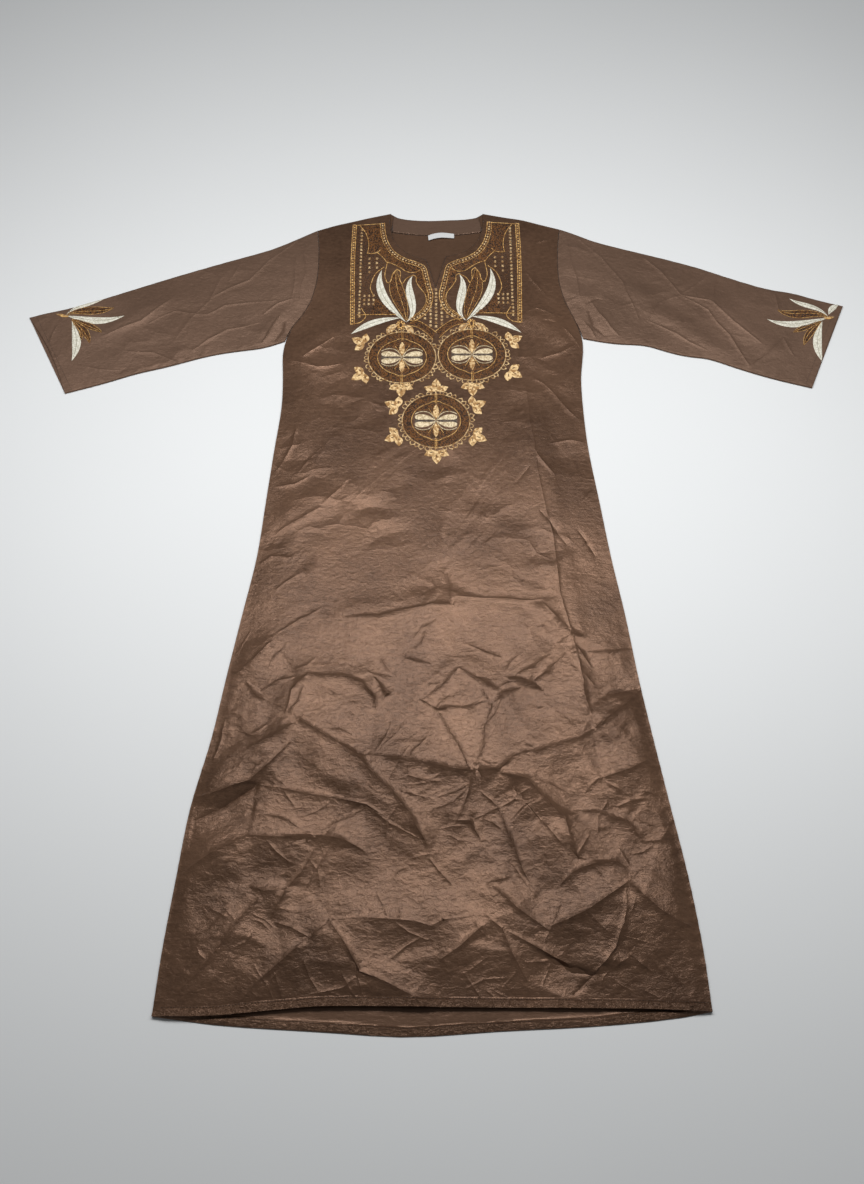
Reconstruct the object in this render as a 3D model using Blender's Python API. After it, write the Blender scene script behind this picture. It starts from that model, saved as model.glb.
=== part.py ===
"""A jebba laid out flat with its front up: an ankle-length satin dress with straight sleeves.

Blender 4.5, in metres, +Z up. The back lies on the surface, the front and the upper half of
each sleeve lie on the lower half. +X is the picture's right, +Y points to the neck.
Tables give places in centimetres: across from the middle, and down from the neck points.
"""
import math
from bisect import bisect_right
from collections import namedtuple
from functools import partial

import bmesh
import bpy
from mathutils import Vector

CM = 0.01
MM = 0.001

# Cloth and seams, in metres
CLOTH_WALL = 0.0012
SEAM_GAP = 0.0003
HEM_FOLD = 0.0006
LABEL_WALL = 0.0010
NECK_POINT_Y = 0.7030

# The laid cloth, in millimetres of height and centimetres of reach
SEAT = (CLOTH_WALL + SEAM_GAP) / MM
ARMHOLE_RISE = 2.0
SWELL = 2.6
SEAM_EASE = 5.0
SHOULDER_EASE = 3.5
HEM_EASE = 7.0
HEM_DEPTH = 1.1
HEM_OPEN_SHARE = 0.4
NECK_ROLL = 3.4
NECK_ROLL_REACH = 3.2
SLEEVE_SWELL = 1.9
ARMPIT_CLEARANCE = 1.5

# Shares of a sleeve's length and of its armhole over which one form passes into the next
HEAD_REACH = 0.25
ARMPIT_REACH = 0.15
CREASE_START = 0.08
CREASE_MARGIN = 0.15
CUFF_STRAIGHT_FROM = 0.9
EDGE_PROBE = 0.1
SEAM_PROBE = 0.02

# Rows of the panels, which the sleeves share along the armhole
SIDE_ROWS = 56
ARMHOLE_ROWS = 15
UNDERARM_ROWS = 5
STRAP_COLUMNS = 16
SLIT_COLUMNS = 4
SLEEVE_STATIONS = 17

# Steps along the flat pieces' outlines, in centimetres or as counts
OUTLINE_STEP = 4.0
HEM_STEPS = 18
SHOULDER_STEPS = 4
NECK_STEPS = 12
FACING_STEPS = 10
LABEL_STEPS = 8
MERGE_DISTANCE = 0.00005

Section = namedtuple("Section", "down left right")
Place = namedtuple("Place", "across down")
Fold = namedtuple("Fold", "across_1 down_1 across_2 down_2 rise reach")
Finish = namedtuple("Finish", "colour roughness")

# Brown satin in the light of each piece, and the label's white tape
FRONT_SATIN = Finish(colour=(0.150, 0.098, 0.070), roughness=0.42)
BACK_SATIN = Finish(colour=(0.140, 0.092, 0.066), roughness=0.45)
SLEEVE_SATIN = Finish(colour=(0.145, 0.095, 0.068), roughness=0.42)
FACING_SATIN = Finish(colour=(0.150, 0.098, 0.072), roughness=0.50)
LABEL_TAPE = Finish(colour=(0.780, 0.770, 0.740), roughness=0.60)

# Body of the dress: its edges at heights from the shoulder tips, past the armpits, to the hem
BODY_SECTIONS = (
    Section(down=3.7, left=-21.2, right=21.7),
    Section(down=8.0, left=-20.8, right=21.2),
    Section(down=12.0, left=-20.7, right=21.0),
    Section(down=16.0, left=-20.9, right=21.1),
    Section(down=20.0, left=-21.7, right=21.9),
    Section(down=23.0, left=-23.0, right=23.0),
    Section(down=25.5, left=-24.6, right=23.9),
    Section(down=28.4, left=-25.5, right=24.5),
    Section(down=31.0, left=-25.9, right=24.4),
    Section(down=36.0, left=-25.6, right=23.8),
    Section(down=42.0, left=-25.5, right=23.8),
    Section(down=50.0, left=-26.2, right=24.2),
    Section(down=60.0, left=-27.0, right=25.4),
    Section(down=70.0, left=-27.8, right=26.6),
    Section(down=80.0, left=-29.4, right=28.1),
    Section(down=90.0, left=-31.0, right=29.3),
    Section(down=100.0, left=-32.5, right=30.8),
    Section(down=110.0, left=-34.6, right=32.4),
    Section(down=120.0, left=-35.7, right=34.0),
    Section(down=130.0, left=-36.7, right=35.1),
    Section(down=138.2, left=-37.2, right=35.5),
)

# Where the sides start and end: shoulder tip, armpit and hem corner on each side
SHOULDER_TIP = {"left": 4.0, "right": 3.7}
ARMPIT = {"left": 28.4, "right": 27.8}
HEM_CORNER = {"left": 138.1, "right": 137.5}

SHOULDERS = {
    "left": (Place(-21.2, 4.0), Place(-18.0, 2.8), Place(-15.0, 1.9), Place(-12.0, 1.0), Place(-8.2, 0.0)),
    "right": (Place(21.7, 3.7), Place(18.0, 2.5), Place(15.0, 1.5), Place(12.0, 0.9), Place(8.1, 0.0)),
}
FRONT_SCOOP = {
    "left": (Place(-8.2, 0.0), Place(-8.4, 2.0), Place(-8.2, 4.2), Place(-7.8, 6.2),
             Place(-6.9, 8.0), Place(-5.5, 9.4), Place(-3.8, 10.4), Place(-1.9, 11.0)),
    "right": (Place(8.1, 0.0), Place(8.2, 2.0), Place(8.0, 4.0), Place(7.4, 6.2),
              Place(6.3, 7.9), Place(4.8, 9.2), Place(3.2, 9.9), Place(1.5, 10.3)),
}
FRONT_SLIT = (Place(-1.9, 11.0), Place(-1.05, 14.1), Place(-0.3, 17.2),
              Place(0.6, 13.8), Place(1.5, 10.3))
BACK_NECK = (Place(-8.2, 0.0), Place(-7.3, 0.7), Place(-5.5, 1.3), Place(-2.0, 1.65),
             Place(2.0, 1.5), Place(5.0, 1.3), Place(7.0, 0.8), Place(8.1, 0.0))
FRONT_HEM = (Place(-37.2, 138.1), Place(-30.0, 138.1), Place(-22.0, 137.4), Place(-15.0, 136.9),
             Place(0.0, 137.0), Place(15.0, 137.1), Place(27.0, 137.2), Place(35.5, 137.5))
BACK_HEM = (Place(-37.2, 138.1), Place(-28.0, 139.2), Place(-15.0, 140.0), Place(-4.0, 140.6),
            Place(8.0, 139.9), Place(20.0, 139.3), Place(30.0, 138.4), Place(35.5, 137.5))

# Sleeves: the upper edge is a fold, the lower edge is the underarm seam, both out to the cuff
SLEEVE_FOLD_EDGE = {
    "left": (Place(-21.2, 4.0), Place(-23.0, 5.1), Place(-25.5, 6.4), Place(-28.0, 8.0), Place(-35.0, 10.6),
             Place(-45.0, 14.4), Place(-55.0, 18.5), Place(-62.0, 21.3), Place(-66.5, 22.5),
             Place(-69.4, 23.5)),
    "right": (Place(21.7, 3.7), Place(23.5, 4.3), Place(26.0, 5.9), Place(30.0, 7.4), Place(38.0, 10.0),
              Place(45.0, 12.4), Place(50.0, 14.6), Place(57.0, 17.4), Place(61.0, 18.1), Place(65.0, 19.7),
              Place(69.4, 21.0)),
}
SLEEVE_SEAM_EDGE = {
    "left": (Place(-25.5, 28.4), Place(-29.0, 29.8), Place(-33.0, 30.4), Place(-38.0, 31.4),
             Place(-45.0, 33.7), Place(-50.0, 35.1), Place(-55.0, 37.0), Place(-61.4, 39.1)),
    "right": (Place(24.5, 27.8), Place(28.0, 28.6), Place(31.0, 29.0), Place(35.0, 29.2), Place(38.0, 30.4),
              Place(42.0, 31.6), Place(45.0, 31.9), Place(50.0, 34.0), Place(55.0, 35.9), Place(61.9, 38.0)),
}
CUFF_STEP = {"left": 0.7, "right": 0.2}

# Inside the neck: the facing's lower edge and the blank label's two long edges
FACING_LOW = (Place(-7.7, 4.2), Place(-4.0, 4.8), Place(0.0, 5.0), Place(4.0, 4.8), Place(7.5, 4.2))
LABEL_TOP = (Place(-1.6, 4.9), Place(-0.6, 4.5), Place(0.8, 4.3), Place(3.0, 4.5))
LABEL_LOW = (Place(3.0, 5.5), Place(0.9, 5.4), Place(-0.4, 5.6), Place(-1.5, 6.0))

# Largest folds of the front: two ends, height of the crest and reach of its slopes
FRONT_FOLDS = (
    Fold(-20.0, 97.2, -1.8, 115.2, rise=7.0, reach=3.0),
    Fold(-20.4, 98.0, -34.0, 109.5, rise=8.0, reach=3.2),
    Fold(-26.0, 114.3, -35.0, 119.4, rise=7.0, reach=3.2),
    Fold(-26.0, 114.3, -10.8, 115.6, rise=7.0, reach=3.0),
    Fold(-10.0, 102.8, 8.5, 104.8, rise=7.0, reach=3.0),
    Fold(9.0, 105.2, 19.0, 117.5, rise=10.0, reach=3.4),
    Fold(25.7, 120.6, 14.8, 126.8, rise=9.0, reach=3.4),
    Fold(25.7, 120.6, 34.6, 127.0, rise=8.0, reach=3.2),
    Fold(25.4, 121.5, 20.5, 132.5, rise=7.0, reach=3.2),
    Fold(-14.8, 125.7, 6.0, 125.2, rise=8.0, reach=3.2),
    Fold(-14.6, 126.2, -10.3, 132.6, rise=7.0, reach=3.0),
    Fold(-10.3, 132.6, -3.0, 136.6, rise=5.0, reach=3.0),
    Fold(-17.2, 128.0, -26.0, 136.0, rise=6.0, reach=3.0),
    Fold(-23.8, 122.6, -33.8, 135.2, rise=6.0, reach=3.0),
    Fold(7.6, 121.2, 14.6, 128.0, rise=8.0, reach=3.0),
    Fold(8.2, 94.3, 5.3, 104.5, rise=5.0, reach=2.8),
    Fold(3.0, 89.0, -2.2, 94.0, rise=4.0, reach=2.8),
    Fold(3.0, 89.0, 9.0, 92.6, rise=5.0, reach=2.8),
    Fold(-14.0, 80.6, 2.4, 78.2, rise=4.0, reach=2.8),
    Fold(22.3, 98.8, 29.4, 92.2, rise=6.0, reach=3.0),
    Fold(22.2, 98.8, 10.5, 103.2, rise=4.0, reach=2.8),
    Fold(22.6, 106.2, 30.8, 102.6, rise=7.0, reach=3.0),
    Fold(15.6, 46.0, 19.4, 80.0, rise=3.5, reach=3.0),
    Fold(15.5, 23.0, 23.6, 28.6, rise=6.0, reach=3.0),
    Fold(-18.0, 27.0, -25.0, 31.6, rise=5.0, reach=3.0),
    Fold(-28.0, 64.5, -18.0, 60.2, rise=4.0, reach=3.0),
    Fold(0.0, 95.7, 4.8, 104.6, rise=4.0, reach=2.6),
    Fold(-22.0, 96.0, -19.5, 90.4, rise=3.0, reach=2.6),
    Fold(-19.5, 90.3, -10.5, 91.4, rise=3.5, reach=2.6),
    Fold(8.6, 127.0, 11.8, 133.6, rise=5.0, reach=2.6),
    Fold(0.0, 131.0, 6.0, 127.2, rise=5.0, reach=2.6),
    Fold(19.6, 117.8, 25.2, 117.0, rise=5.0, reach=2.6),
    Fold(-30.0, 90.0, -24.8, 84.8, rise=3.5, reach=2.6),
    Fold(5.0, 105.2, 2.4, 111.8, rise=4.0, reach=2.6),
    Fold(16.2, 80.0, 20.4, 83.6, rise=5.0, reach=2.6),
    Fold(11.8, 90.2, 18.8, 86.4, rise=3.5, reach=2.6),
    Fold(20.4, 26.2, 24.0, 30.0, rise=5.0, reach=2.4),
    Fold(-19.6, 34.0, -24.6, 31.8, rise=4.0, reach=2.6),
)
SLEEVE_FOLDS = {
    "left": (
        Fold(-23.0, 8.0, -22.6, 21.0, rise=2.2, reach=2.4),
        Fold(-27.0, 23.5, -28.6, 29.0, rise=3.0, reach=2.4),
        Fold(-46.0, 20.0, -58.0, 28.0, rise=2.2, reach=2.6),
    ),
    "right": (
        Fold(23.2, 8.0, 24.4, 20.0, rise=2.4, reach=2.4),
        Fold(27.0, 19.0, 28.6, 28.0, rise=3.2, reach=2.4),
        Fold(33.0, 17.0, 46.0, 30.0, rise=2.4, reach=2.6),
        Fold(46.0, 19.0, 56.0, 30.0, rise=2.4, reach=2.6),
    ),
}


def smooth(share):
    """Rise from 0 to 1 with no kink at either end."""
    share = min(max(share, 0.0), 1.0)
    return share * share * (3.0 - 2.0 * share)


def through(knots, values, at):
    """Smooth curve through the rows of a table, read at one place."""
    row = min(max(bisect_right(knots, at) - 1, 0), len(knots) - 2)

    def slope(index):
        before, after = max(index - 1, 0), min(index + 1, len(knots) - 1)
        return (values[after] - values[before]) / (knots[after] - knots[before])

    span = knots[row + 1] - knots[row]
    share = (at - knots[row]) / span
    start = (1 + 2 * share) * (1 - share) ** 2
    leave = share * (1 - share) ** 2 * span
    arrive = share ** 2 * (share - 1) * span
    return (start * values[row] + (1 - start) * values[row + 1]
            + leave * slope(row) + arrive * slope(row + 1))


def curve(places):
    """A line through hand-set places, as a function of 0 to 1 along it."""
    reached = [0.0]
    for here, there in zip(places, places[1:]):
        reached.append(reached[-1] + math.dist(here, there))

    def at(share):
        distance = share * reached[-1]
        return Vector((through(reached, [p.across for p in places], distance),
                       through(reached, [p.down for p in places], distance)))

    return at


def side_edge(side, down):
    """Edge of the body on one side, at a height."""
    downs = [section.down for section in BODY_SECTIONS]
    return Vector((through(downs, [getattr(section, side) for section in BODY_SECTIONS], down), down))


def armhole(side, share):
    """Armhole seam, from the shoulder tip at 0 to the armpit at 1."""
    tip, pit = SHOULDER_TIP[side], ARMPIT[side]
    return side_edge(side, tip + (pit - tip) * share)


def side_by_row(side, row):
    """Edge of the front by its row: the hem corner is row 0, and the armhole rows follow the side's."""
    corner, pit = HEM_CORNER[side], ARMPIT[side]
    if row > SIDE_ROWS:
        return armhole(side, 1.0 - (row - SIDE_ROWS) / ARMHOLE_ROWS)
    if row < 1.0:
        return side_edge(side, corner - HEM_DEPTH * row)
    climb = (row - 1.0) / (SIDE_ROWS - 1.0)
    return side_edge(side, corner - HEM_DEPTH - (corner - HEM_DEPTH - pit) * climb)


def patch(left, right, low, top, across, up):
    """Point of a panel between its four edges, each a function of 0 to 1."""
    sides = left(up).lerp(right(up), across)
    ends = low(across).lerp(top(across), up)
    corners = low(0.0).lerp(low(1.0), across).lerp(top(0.0).lerp(top(1.0), across), up)
    return sides + ends - corners


def fold_lift(folds, place):
    """Height that the folds of a table give at a place, in millimetres."""
    lift = 0.0
    for fold in folds:
        start = Vector((fold.across_1, fold.down_1))
        run = Vector((fold.across_2, fold.down_2)) - start
        along = min(max((place - start).dot(run) / run.length_squared, 0.0), 1.0)
        away = (place - start - run * along).length
        lift = max(lift, fold.rise * smooth(1.0 - away / fold.reach))
    return lift


def nearest_distance(place, line):
    """Distance from a place to a line of places, in centimetres."""
    nearest = math.inf
    for here, there in zip(line, line[1:]):
        start = Vector(here)
        run = Vector(there) - start
        along = min(max((place - start).dot(run) / run.length_squared, 0.0), 1.0)
        nearest = min(nearest, (place - start - run * along).length)
    return nearest


def armhole_lift(share):
    """Height of the cloth's underside along the armhole seam, in millimetres."""
    return SEAT + ARMHOLE_RISE * math.sin(math.pi * min(max(share, 0.0), 1.0))


def front_lift(place):
    """Height of the front's underside over the surface, in millimetres."""
    across, down = place
    side = "left" if across < 0 else "right"
    edge = armhole_lift((down - SHOULDER_TIP[side]) / (ARMPIT[side] - SHOULDER_TIP[side]))
    from_side = abs(side_edge(side, max(down, SHOULDER_TIP[side])).x - across)
    from_shoulder = nearest_distance(place, SHOULDERS[side])
    from_hem = HEM_CORNER[side] - down
    ease = smooth(from_side / SEAM_EASE) * smooth(from_shoulder / SHOULDER_EASE)
    ease *= HEM_OPEN_SHARE + (1.0 - HEM_OPEN_SHARE) * smooth(from_hem / HEM_EASE)
    neckline = FRONT_SCOOP["left"] + FRONT_SLIT[1:-1] + FRONT_SCOOP["right"][::-1]
    roll = NECK_ROLL * smooth(1.0 - nearest_distance(place, neckline) / NECK_ROLL_REACH)
    seam = SEAT + (edge - SEAT) * smooth(1.0 - from_side / SEAM_EASE)
    return seam + ease * (SWELL + roll + fold_lift(FRONT_FOLDS, place))


def to_metres(place, height):
    """Place in centimetres and height in millimetres, in the part's frame."""
    return Vector((place[0] * CM, NECK_POINT_Y - place[1] * CM, height * MM))


def cloth(name, finish):
    """Plain material of one piece."""
    material = bpy.data.materials.new(name)
    material.use_nodes = True
    shader = material.node_tree.nodes["Principled BSDF"]
    shader.inputs["Base Color"].default_value = (*finish.colour, 1.0)
    shader.inputs["Roughness"].default_value = finish.roughness
    material.diffuse_color = (*finish.colour, 1.0)
    return material


def add_mesh(name, bm, material, collection):
    """Put a finished mesh into the collection as one piece."""
    bmesh.ops.recalc_face_normals(bm, faces=bm.faces)
    mesh = bpy.data.meshes.new(name)
    bm.to_mesh(mesh)
    bm.free()
    mesh.materials.append(material)
    mesh.shade_smooth()
    collection.objects.link(bpy.data.objects.new(name, mesh))


def new_sheet():
    """Empty mesh whose vertices remember their column and row."""
    bm = bmesh.new()
    bm.verts.layers.int.new("column")
    bm.verts.layers.int.new("row")
    return bm


def add_grid(bm, columns, rows, place_at, first_row=0):
    """Grid of cloth with each point set by a function of its column and row."""
    column_of, row_of = bm.verts.layers.int["column"], bm.verts.layers.int["row"]
    for vertex in bmesh.ops.create_grid(bm, x_segments=columns, y_segments=rows, size=0.5)["verts"]:
        vertex[column_of] = round((vertex.co.x + 0.5) * columns)
        vertex[row_of] = first_row + round((vertex.co.y + 0.5) * rows)
        vertex.co = place_at(vertex[column_of], vertex[row_of])


def add_wall(bm, place_at):
    """Close a sheet into a wall, whose second face a function of column, row and point sets."""
    column_of, row_of = bm.verts.layers.int["column"], bm.verts.layers.int["row"]
    bmesh.ops.remove_doubles(bm, verts=bm.verts, dist=MERGE_DISTANCE)
    copied = bmesh.ops.extrude_face_region(bm, geom=bm.faces[:], use_keep_orig=True)["geom"]
    for vertex in [item for item in copied if isinstance(item, bmesh.types.BMVert)]:
        vertex.co = place_at(vertex[column_of], vertex[row_of], vertex.co)


def front_panel(collection):
    """Front: one field below the neck, and a strap on each side of the scoop up to the shoulder."""
    field_rows = SIDE_ROWS + UNDERARM_ROWS
    field_columns = 2 * STRAP_COLUMNS + SLIT_COLUMNS
    strap_rows = ARMHOLE_ROWS - UNDERARM_ROWS
    hem = curve(FRONT_HEM)
    corner = {side: Vector(FRONT_SCOOP[side][-1]) for side in ("left", "right")}
    yoke = {side: side_by_row(side, field_rows) for side in ("left", "right")}

    def field_top(across):
        column = across * field_columns
        if column <= STRAP_COLUMNS:
            return yoke["left"].lerp(corner["left"], column / STRAP_COLUMNS)
        past_slit = column - STRAP_COLUMNS - SLIT_COLUMNS
        if past_slit >= 0:
            return corner["right"].lerp(yoke["right"], past_slit / STRAP_COLUMNS)
        return Vector(FRONT_SLIT[round(column) - STRAP_COLUMNS])

    def field_point(column, row):
        place = patch(
            lambda up: side_by_row("left", up * field_rows), lambda up: side_by_row("right", up * field_rows),
            hem, field_top, column / field_columns, row / field_rows)
        return to_metres(place, front_lift(place))

    def strap_point(side, column, row):
        scoop, shoulder = curve(FRONT_SCOOP[side]), curve(SHOULDERS[side])
        place = patch(
            lambda up: side_by_row(side, field_rows + up * strap_rows), lambda up: scoop(1.0 - up),
            lambda across: yoke[side].lerp(corner[side], across), shoulder,
            column / STRAP_COLUMNS, (row - field_rows) / strap_rows)
        return to_metres(place, front_lift(place))

    def upper_face(column, row, point):
        hem_fold = HEM_FOLD if row <= 1 else 0.0
        return point + Vector((0.0, 0.0, CLOTH_WALL + hem_fold))

    bm = new_sheet()
    add_grid(bm, field_columns, field_rows, field_point)
    for side in ("left", "right"):
        add_grid(bm, STRAP_COLUMNS, strap_rows, partial(strap_point, side), first_row=field_rows)
    add_wall(bm, upper_face)
    add_mesh("front_panel", bm, cloth("front_satin", FRONT_SATIN), collection)


def flat_piece(name, outline, bottom, wall, material, collection):
    """Piece cut to an outline, flat on both faces."""
    data = bpy.data.curves.new(name, "CURVE")
    data.dimensions = "2D"
    data.fill_mode = "BOTH"
    data.extrude = wall / 2
    spline = data.splines.new("POLY")
    spline.points.add(len(outline) - 1)
    for point, place in zip(spline.points, outline):
        point.co = (*to_metres(place, 0.0).xy, 0.0, 1.0)
    spline.use_cyclic_u = True
    data.materials.append(material)
    piece = bpy.data.objects.new(name, data)
    piece.location.z = bottom + wall / 2
    collection.objects.link(piece)


def sampled(line, count):
    """Places at even steps along a line, both ends included."""
    return [line(step / count) for step in range(count + 1)]


def back_panel(collection):
    """Back: flat on the surface, its armholes on the same points as the sleeves'."""
    outline = sampled(curve(BACK_HEM), HEM_STEPS)
    for side in ("right", "left"):
        drop = HEM_CORNER[side] - ARMPIT[side]
        steps = round(drop / OUTLINE_STEP)
        seam = [side_edge(side, HEM_CORNER[side] - drop * step / steps) for step in range(1, steps + 1)]
        seam += [armhole(side, 1.0 - step / ARMHOLE_ROWS) for step in range(1, ARMHOLE_ROWS + 1)]
        seam += sampled(curve(SHOULDERS[side]), SHOULDER_STEPS)[1:]
        if side == "right":
            outline += seam + sampled(curve(BACK_NECK[::-1]), NECK_STEPS)[1:-1]
        else:
            outline += seam[::-1]
    flat_piece("back_panel", outline, 0.0, CLOTH_WALL, cloth("back_satin", BACK_SATIN), collection)


def neck_finish(collection):
    """Facing band inside the back of the neck, and the blank label on its lower edge."""
    inset = Vector((0.0, SEAM_GAP / CM))
    upper = [place + inset for place in sampled(curve(BACK_NECK[1:-1]), NECK_STEPS)]
    outline = upper + sampled(curve(FACING_LOW[::-1]), FACING_STEPS)
    facing_bottom = CLOTH_WALL + SEAM_GAP
    band = cloth("facing_satin", FACING_SATIN)
    flat_piece("back_neck_facing", outline, facing_bottom, CLOTH_WALL, band, collection)
    label = sampled(curve(LABEL_TOP), LABEL_STEPS) + sampled(curve(LABEL_LOW), LABEL_STEPS)
    label_bottom = facing_bottom + CLOTH_WALL + SEAM_GAP
    flat_piece("neck_label", label, label_bottom, LABEL_WALL, cloth("label_tape", LABEL_TAPE), collection)


def sleeve(side, collection):
    """Sleeve: a flattened tube, seam to seam with the armhole, its lower half flat on the surface."""
    fold_edge = curve(SLEEVE_FOLD_EDGE[side])
    seam_edge = curve(SLEEVE_SEAM_EDGE[side])
    outward = -1.0 if side == "left" else 1.0
    wall = CLOTH_WALL / MM
    seam_points = ARMHOLE_ROWS + 1
    ring = 2 * seam_points + 2

    def start(share):
        """Armhole end, clear of the body by the seam gap and by more at the armpit."""
        before = armhole(side, max(share - SEAM_PROBE, 0.0))
        after = armhole(side, min(share + SEAM_PROBE, 1.0))
        tangent = (after - before).normalized()
        away = Vector((tangent.y, -tangent.x)) * outward
        near_armpit = smooth((share - 1.0 + ARMPIT_REACH) / ARMPIT_REACH)
        gap = SEAM_GAP / CM + ARMPIT_CLEARANCE * MM / CM * near_armpit
        return armhole(side, share) + away * gap

    def section(along, share, step_back):
        cuff_fold, cuff_seam = fold_edge(1.0), seam_edge(1.0)
        axis = (fold_edge(1.0) - fold_edge(CUFF_STRAIGHT_FROM)).normalized()

        def cuff(up):
            return cuff_fold.lerp(cuff_seam, up) - axis * step_back * math.sin(math.pi * up)

        return patch(start, cuff, fold_edge, seam_edge, along, share)

    def top_lift(place, along, share):
        lift = armhole_lift(share) - SEAT
        lift += (SLEEVE_SWELL * math.sin(math.pi * share) - lift) * smooth(along / HEAD_REACH)
        creases = smooth(along / CREASE_START)
        creases *= smooth(share / CREASE_MARGIN) * smooth((1.0 - share) / CREASE_MARGIN)
        return SEAT + wall + lift + creases * fold_lift(SLEEVE_FOLDS[side], place)

    def tube_point(station, place_in_ring, inset):
        along = station / SLEEVE_STATIONS
        place_in_ring %= ring
        if place_in_ring in (0, seam_points + 1):
            share = 0.0 if place_in_ring == 0 else 1.0
            inward = section(along, abs(share - EDGE_PROBE), 0.0) - section(along, share, 0.0)
            middle = (SEAT + wall) / 2
            edge = section(along, share, 0.0) - inward.normalized() * (middle - inset) * MM / CM
            return to_metres(edge, middle)
        if place_in_ring <= seam_points:
            share = (place_in_ring - 1) / ARMHOLE_ROWS
            place = section(along, share, CUFF_STEP[side])
            return to_metres(place, top_lift(place, along, share) - inset)
        share = 1.0 - (place_in_ring - seam_points - 2) / ARMHOLE_ROWS
        return to_metres(section(along, share, 0.0), inset)

    bm = new_sheet()
    add_grid(bm, SLEEVE_STATIONS, ring, partial(tube_point, inset=0.0))
    add_wall(bm, lambda station, place_in_ring, point: tube_point(station, place_in_ring, wall))
    name = "sleeve_" + side
    add_mesh(name, bm, cloth(name + "_satin", SLEEVE_SATIN), collection)


def build():
    """Make every piece in a collection of its own."""
    for item in list(bpy.data.objects):
        bpy.data.objects.remove(item, do_unlink=True)
    collection = bpy.data.collections.new("jebba")
    bpy.context.scene.collection.children.link(collection)
    back_panel(collection)
    front_panel(collection)
    for side in ("left", "right"):
        sleeve(side, collection)
    neck_finish(collection)


build()
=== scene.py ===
import math
from collections import namedtuple

import bmesh
import bpy
import numpy as np
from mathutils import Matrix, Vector, geometry, noise
from mathutils.bvhtree import BVHTree
from mathutils.kdtree import KDTree


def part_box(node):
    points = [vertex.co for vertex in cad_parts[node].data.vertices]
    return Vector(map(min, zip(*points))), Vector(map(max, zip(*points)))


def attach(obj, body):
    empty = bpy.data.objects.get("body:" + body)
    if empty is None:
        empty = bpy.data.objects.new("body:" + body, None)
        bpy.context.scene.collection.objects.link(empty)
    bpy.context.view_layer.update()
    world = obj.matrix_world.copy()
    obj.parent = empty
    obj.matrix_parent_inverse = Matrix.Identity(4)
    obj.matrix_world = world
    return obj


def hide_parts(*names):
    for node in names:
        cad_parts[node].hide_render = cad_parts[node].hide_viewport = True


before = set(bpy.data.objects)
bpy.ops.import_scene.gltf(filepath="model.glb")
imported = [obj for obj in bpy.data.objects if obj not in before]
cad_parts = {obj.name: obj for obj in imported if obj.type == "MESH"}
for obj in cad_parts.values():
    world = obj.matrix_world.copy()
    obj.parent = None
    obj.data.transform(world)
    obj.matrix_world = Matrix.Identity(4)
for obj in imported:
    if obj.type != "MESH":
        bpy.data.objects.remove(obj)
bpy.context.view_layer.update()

# Surface, light and camera
# The dress lies on a pale matt surface. One wide soft light hangs beyond the neck, so that the
# satin shines in the middle of the skirt, and the room fills the shade evenly.
CM = 0.01
MM = 0.001
NECK_POINT_Y = 0.7030
FLOOR_HALF = 6.0
FLOOR_BELOW = 0.2 * MM
FLOOR_GREYS = ((0.760, 0.775, 0.780), (0.785, 0.800, 0.805))
FLOOR_ROUGHNESS = 0.75
ROOM_COLOUR = (0.97, 0.985, 1.0, 1.0)
ROOM_STRENGTH = 0.10
LENS_MM = 39.53
SENSOR_MM = 36.0
CAMERA_PLACE = (-0.009, -0.9677, 1.75)
CAMERA_TILT = math.radians(27.5)


def node(tree, kind, values=None, **settings):
    """Shader node with its settings and its unlinked values."""
    made = tree.nodes.new("ShaderNode" + kind)
    for name, value in settings.items():
        setattr(made, name, value)
    for name, value in (values or {}).items():
        made.inputs[name].default_value = value
    return made


def object_place(tree, scale=(1.0, 1.0, 1.0), turn=0.0):
    """Object coordinates, turned and stretched, as a socket."""
    mapping = node(tree, "Mapping", {"Rotation": (0.0, 0.0, turn), "Scale": scale})
    tree.links.new(node(tree, "TexCoord").outputs["Object"], mapping.inputs["Vector"])
    return mapping.outputs["Vector"]


def texture(tree, kind, values, place=None, **settings):
    """Texture node that reads a place socket, or plain Object coordinates."""
    made = node(tree, "Tex" + kind, values, **settings)
    tree.links.new(object_place(tree) if place is None else place, made.inputs["Vector"])
    return made


def new_material(name):
    """Material with a Principled shader, and its node tree."""
    material = bpy.data.materials.new(name)
    material.use_nodes = True
    return material, material.node_tree, material.node_tree.nodes["Principled BSDF"]


def bump(tree, height, distance, below=None):
    """Bump of a height socket over another normal, as a socket."""
    made = node(tree, "Bump", {"Distance": distance, "Strength": 1.0})
    tree.links.new(height, made.inputs["Height"])
    if below is not None:
        tree.links.new(below, made.inputs["Normal"])
    return made.outputs["Normal"]


def shade_range(tree, factor, low, high):
    """Colour between two by a factor socket."""
    ramp = node(tree, "ValToRGB")
    ramp.color_ramp.elements[0].color = (*low, 1.0)
    ramp.color_ramp.elements[1].color = (*high, 1.0)
    tree.links.new(factor, ramp.inputs["Fac"])
    return ramp.outputs["Color"]


def put_in_scene(name, bm, material):
    """Finished piece from a mesh in the frame's own metres."""
    mesh = bpy.data.meshes.new(name)
    bm.to_mesh(mesh)
    bm.free()
    mesh.materials.append(material)
    mesh.shade_smooth()
    piece = bpy.data.objects.new(name, mesh)
    bpy.context.scene.collection.objects.link(piece)
    return piece


def matt_surface():
    """Pale matt sheet with a faint mottle."""
    material, tree, shader = new_material("pale_surface")
    shader.inputs["Roughness"].default_value = FLOOR_ROUGHNESS
    mottle = texture(tree, "Noise", {"Scale": 2.2, "Detail": 2.0})
    tree.links.new(shade_range(tree, mottle.outputs["Fac"], *FLOOR_GREYS), shader.inputs["Base Color"])
    return material


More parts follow.
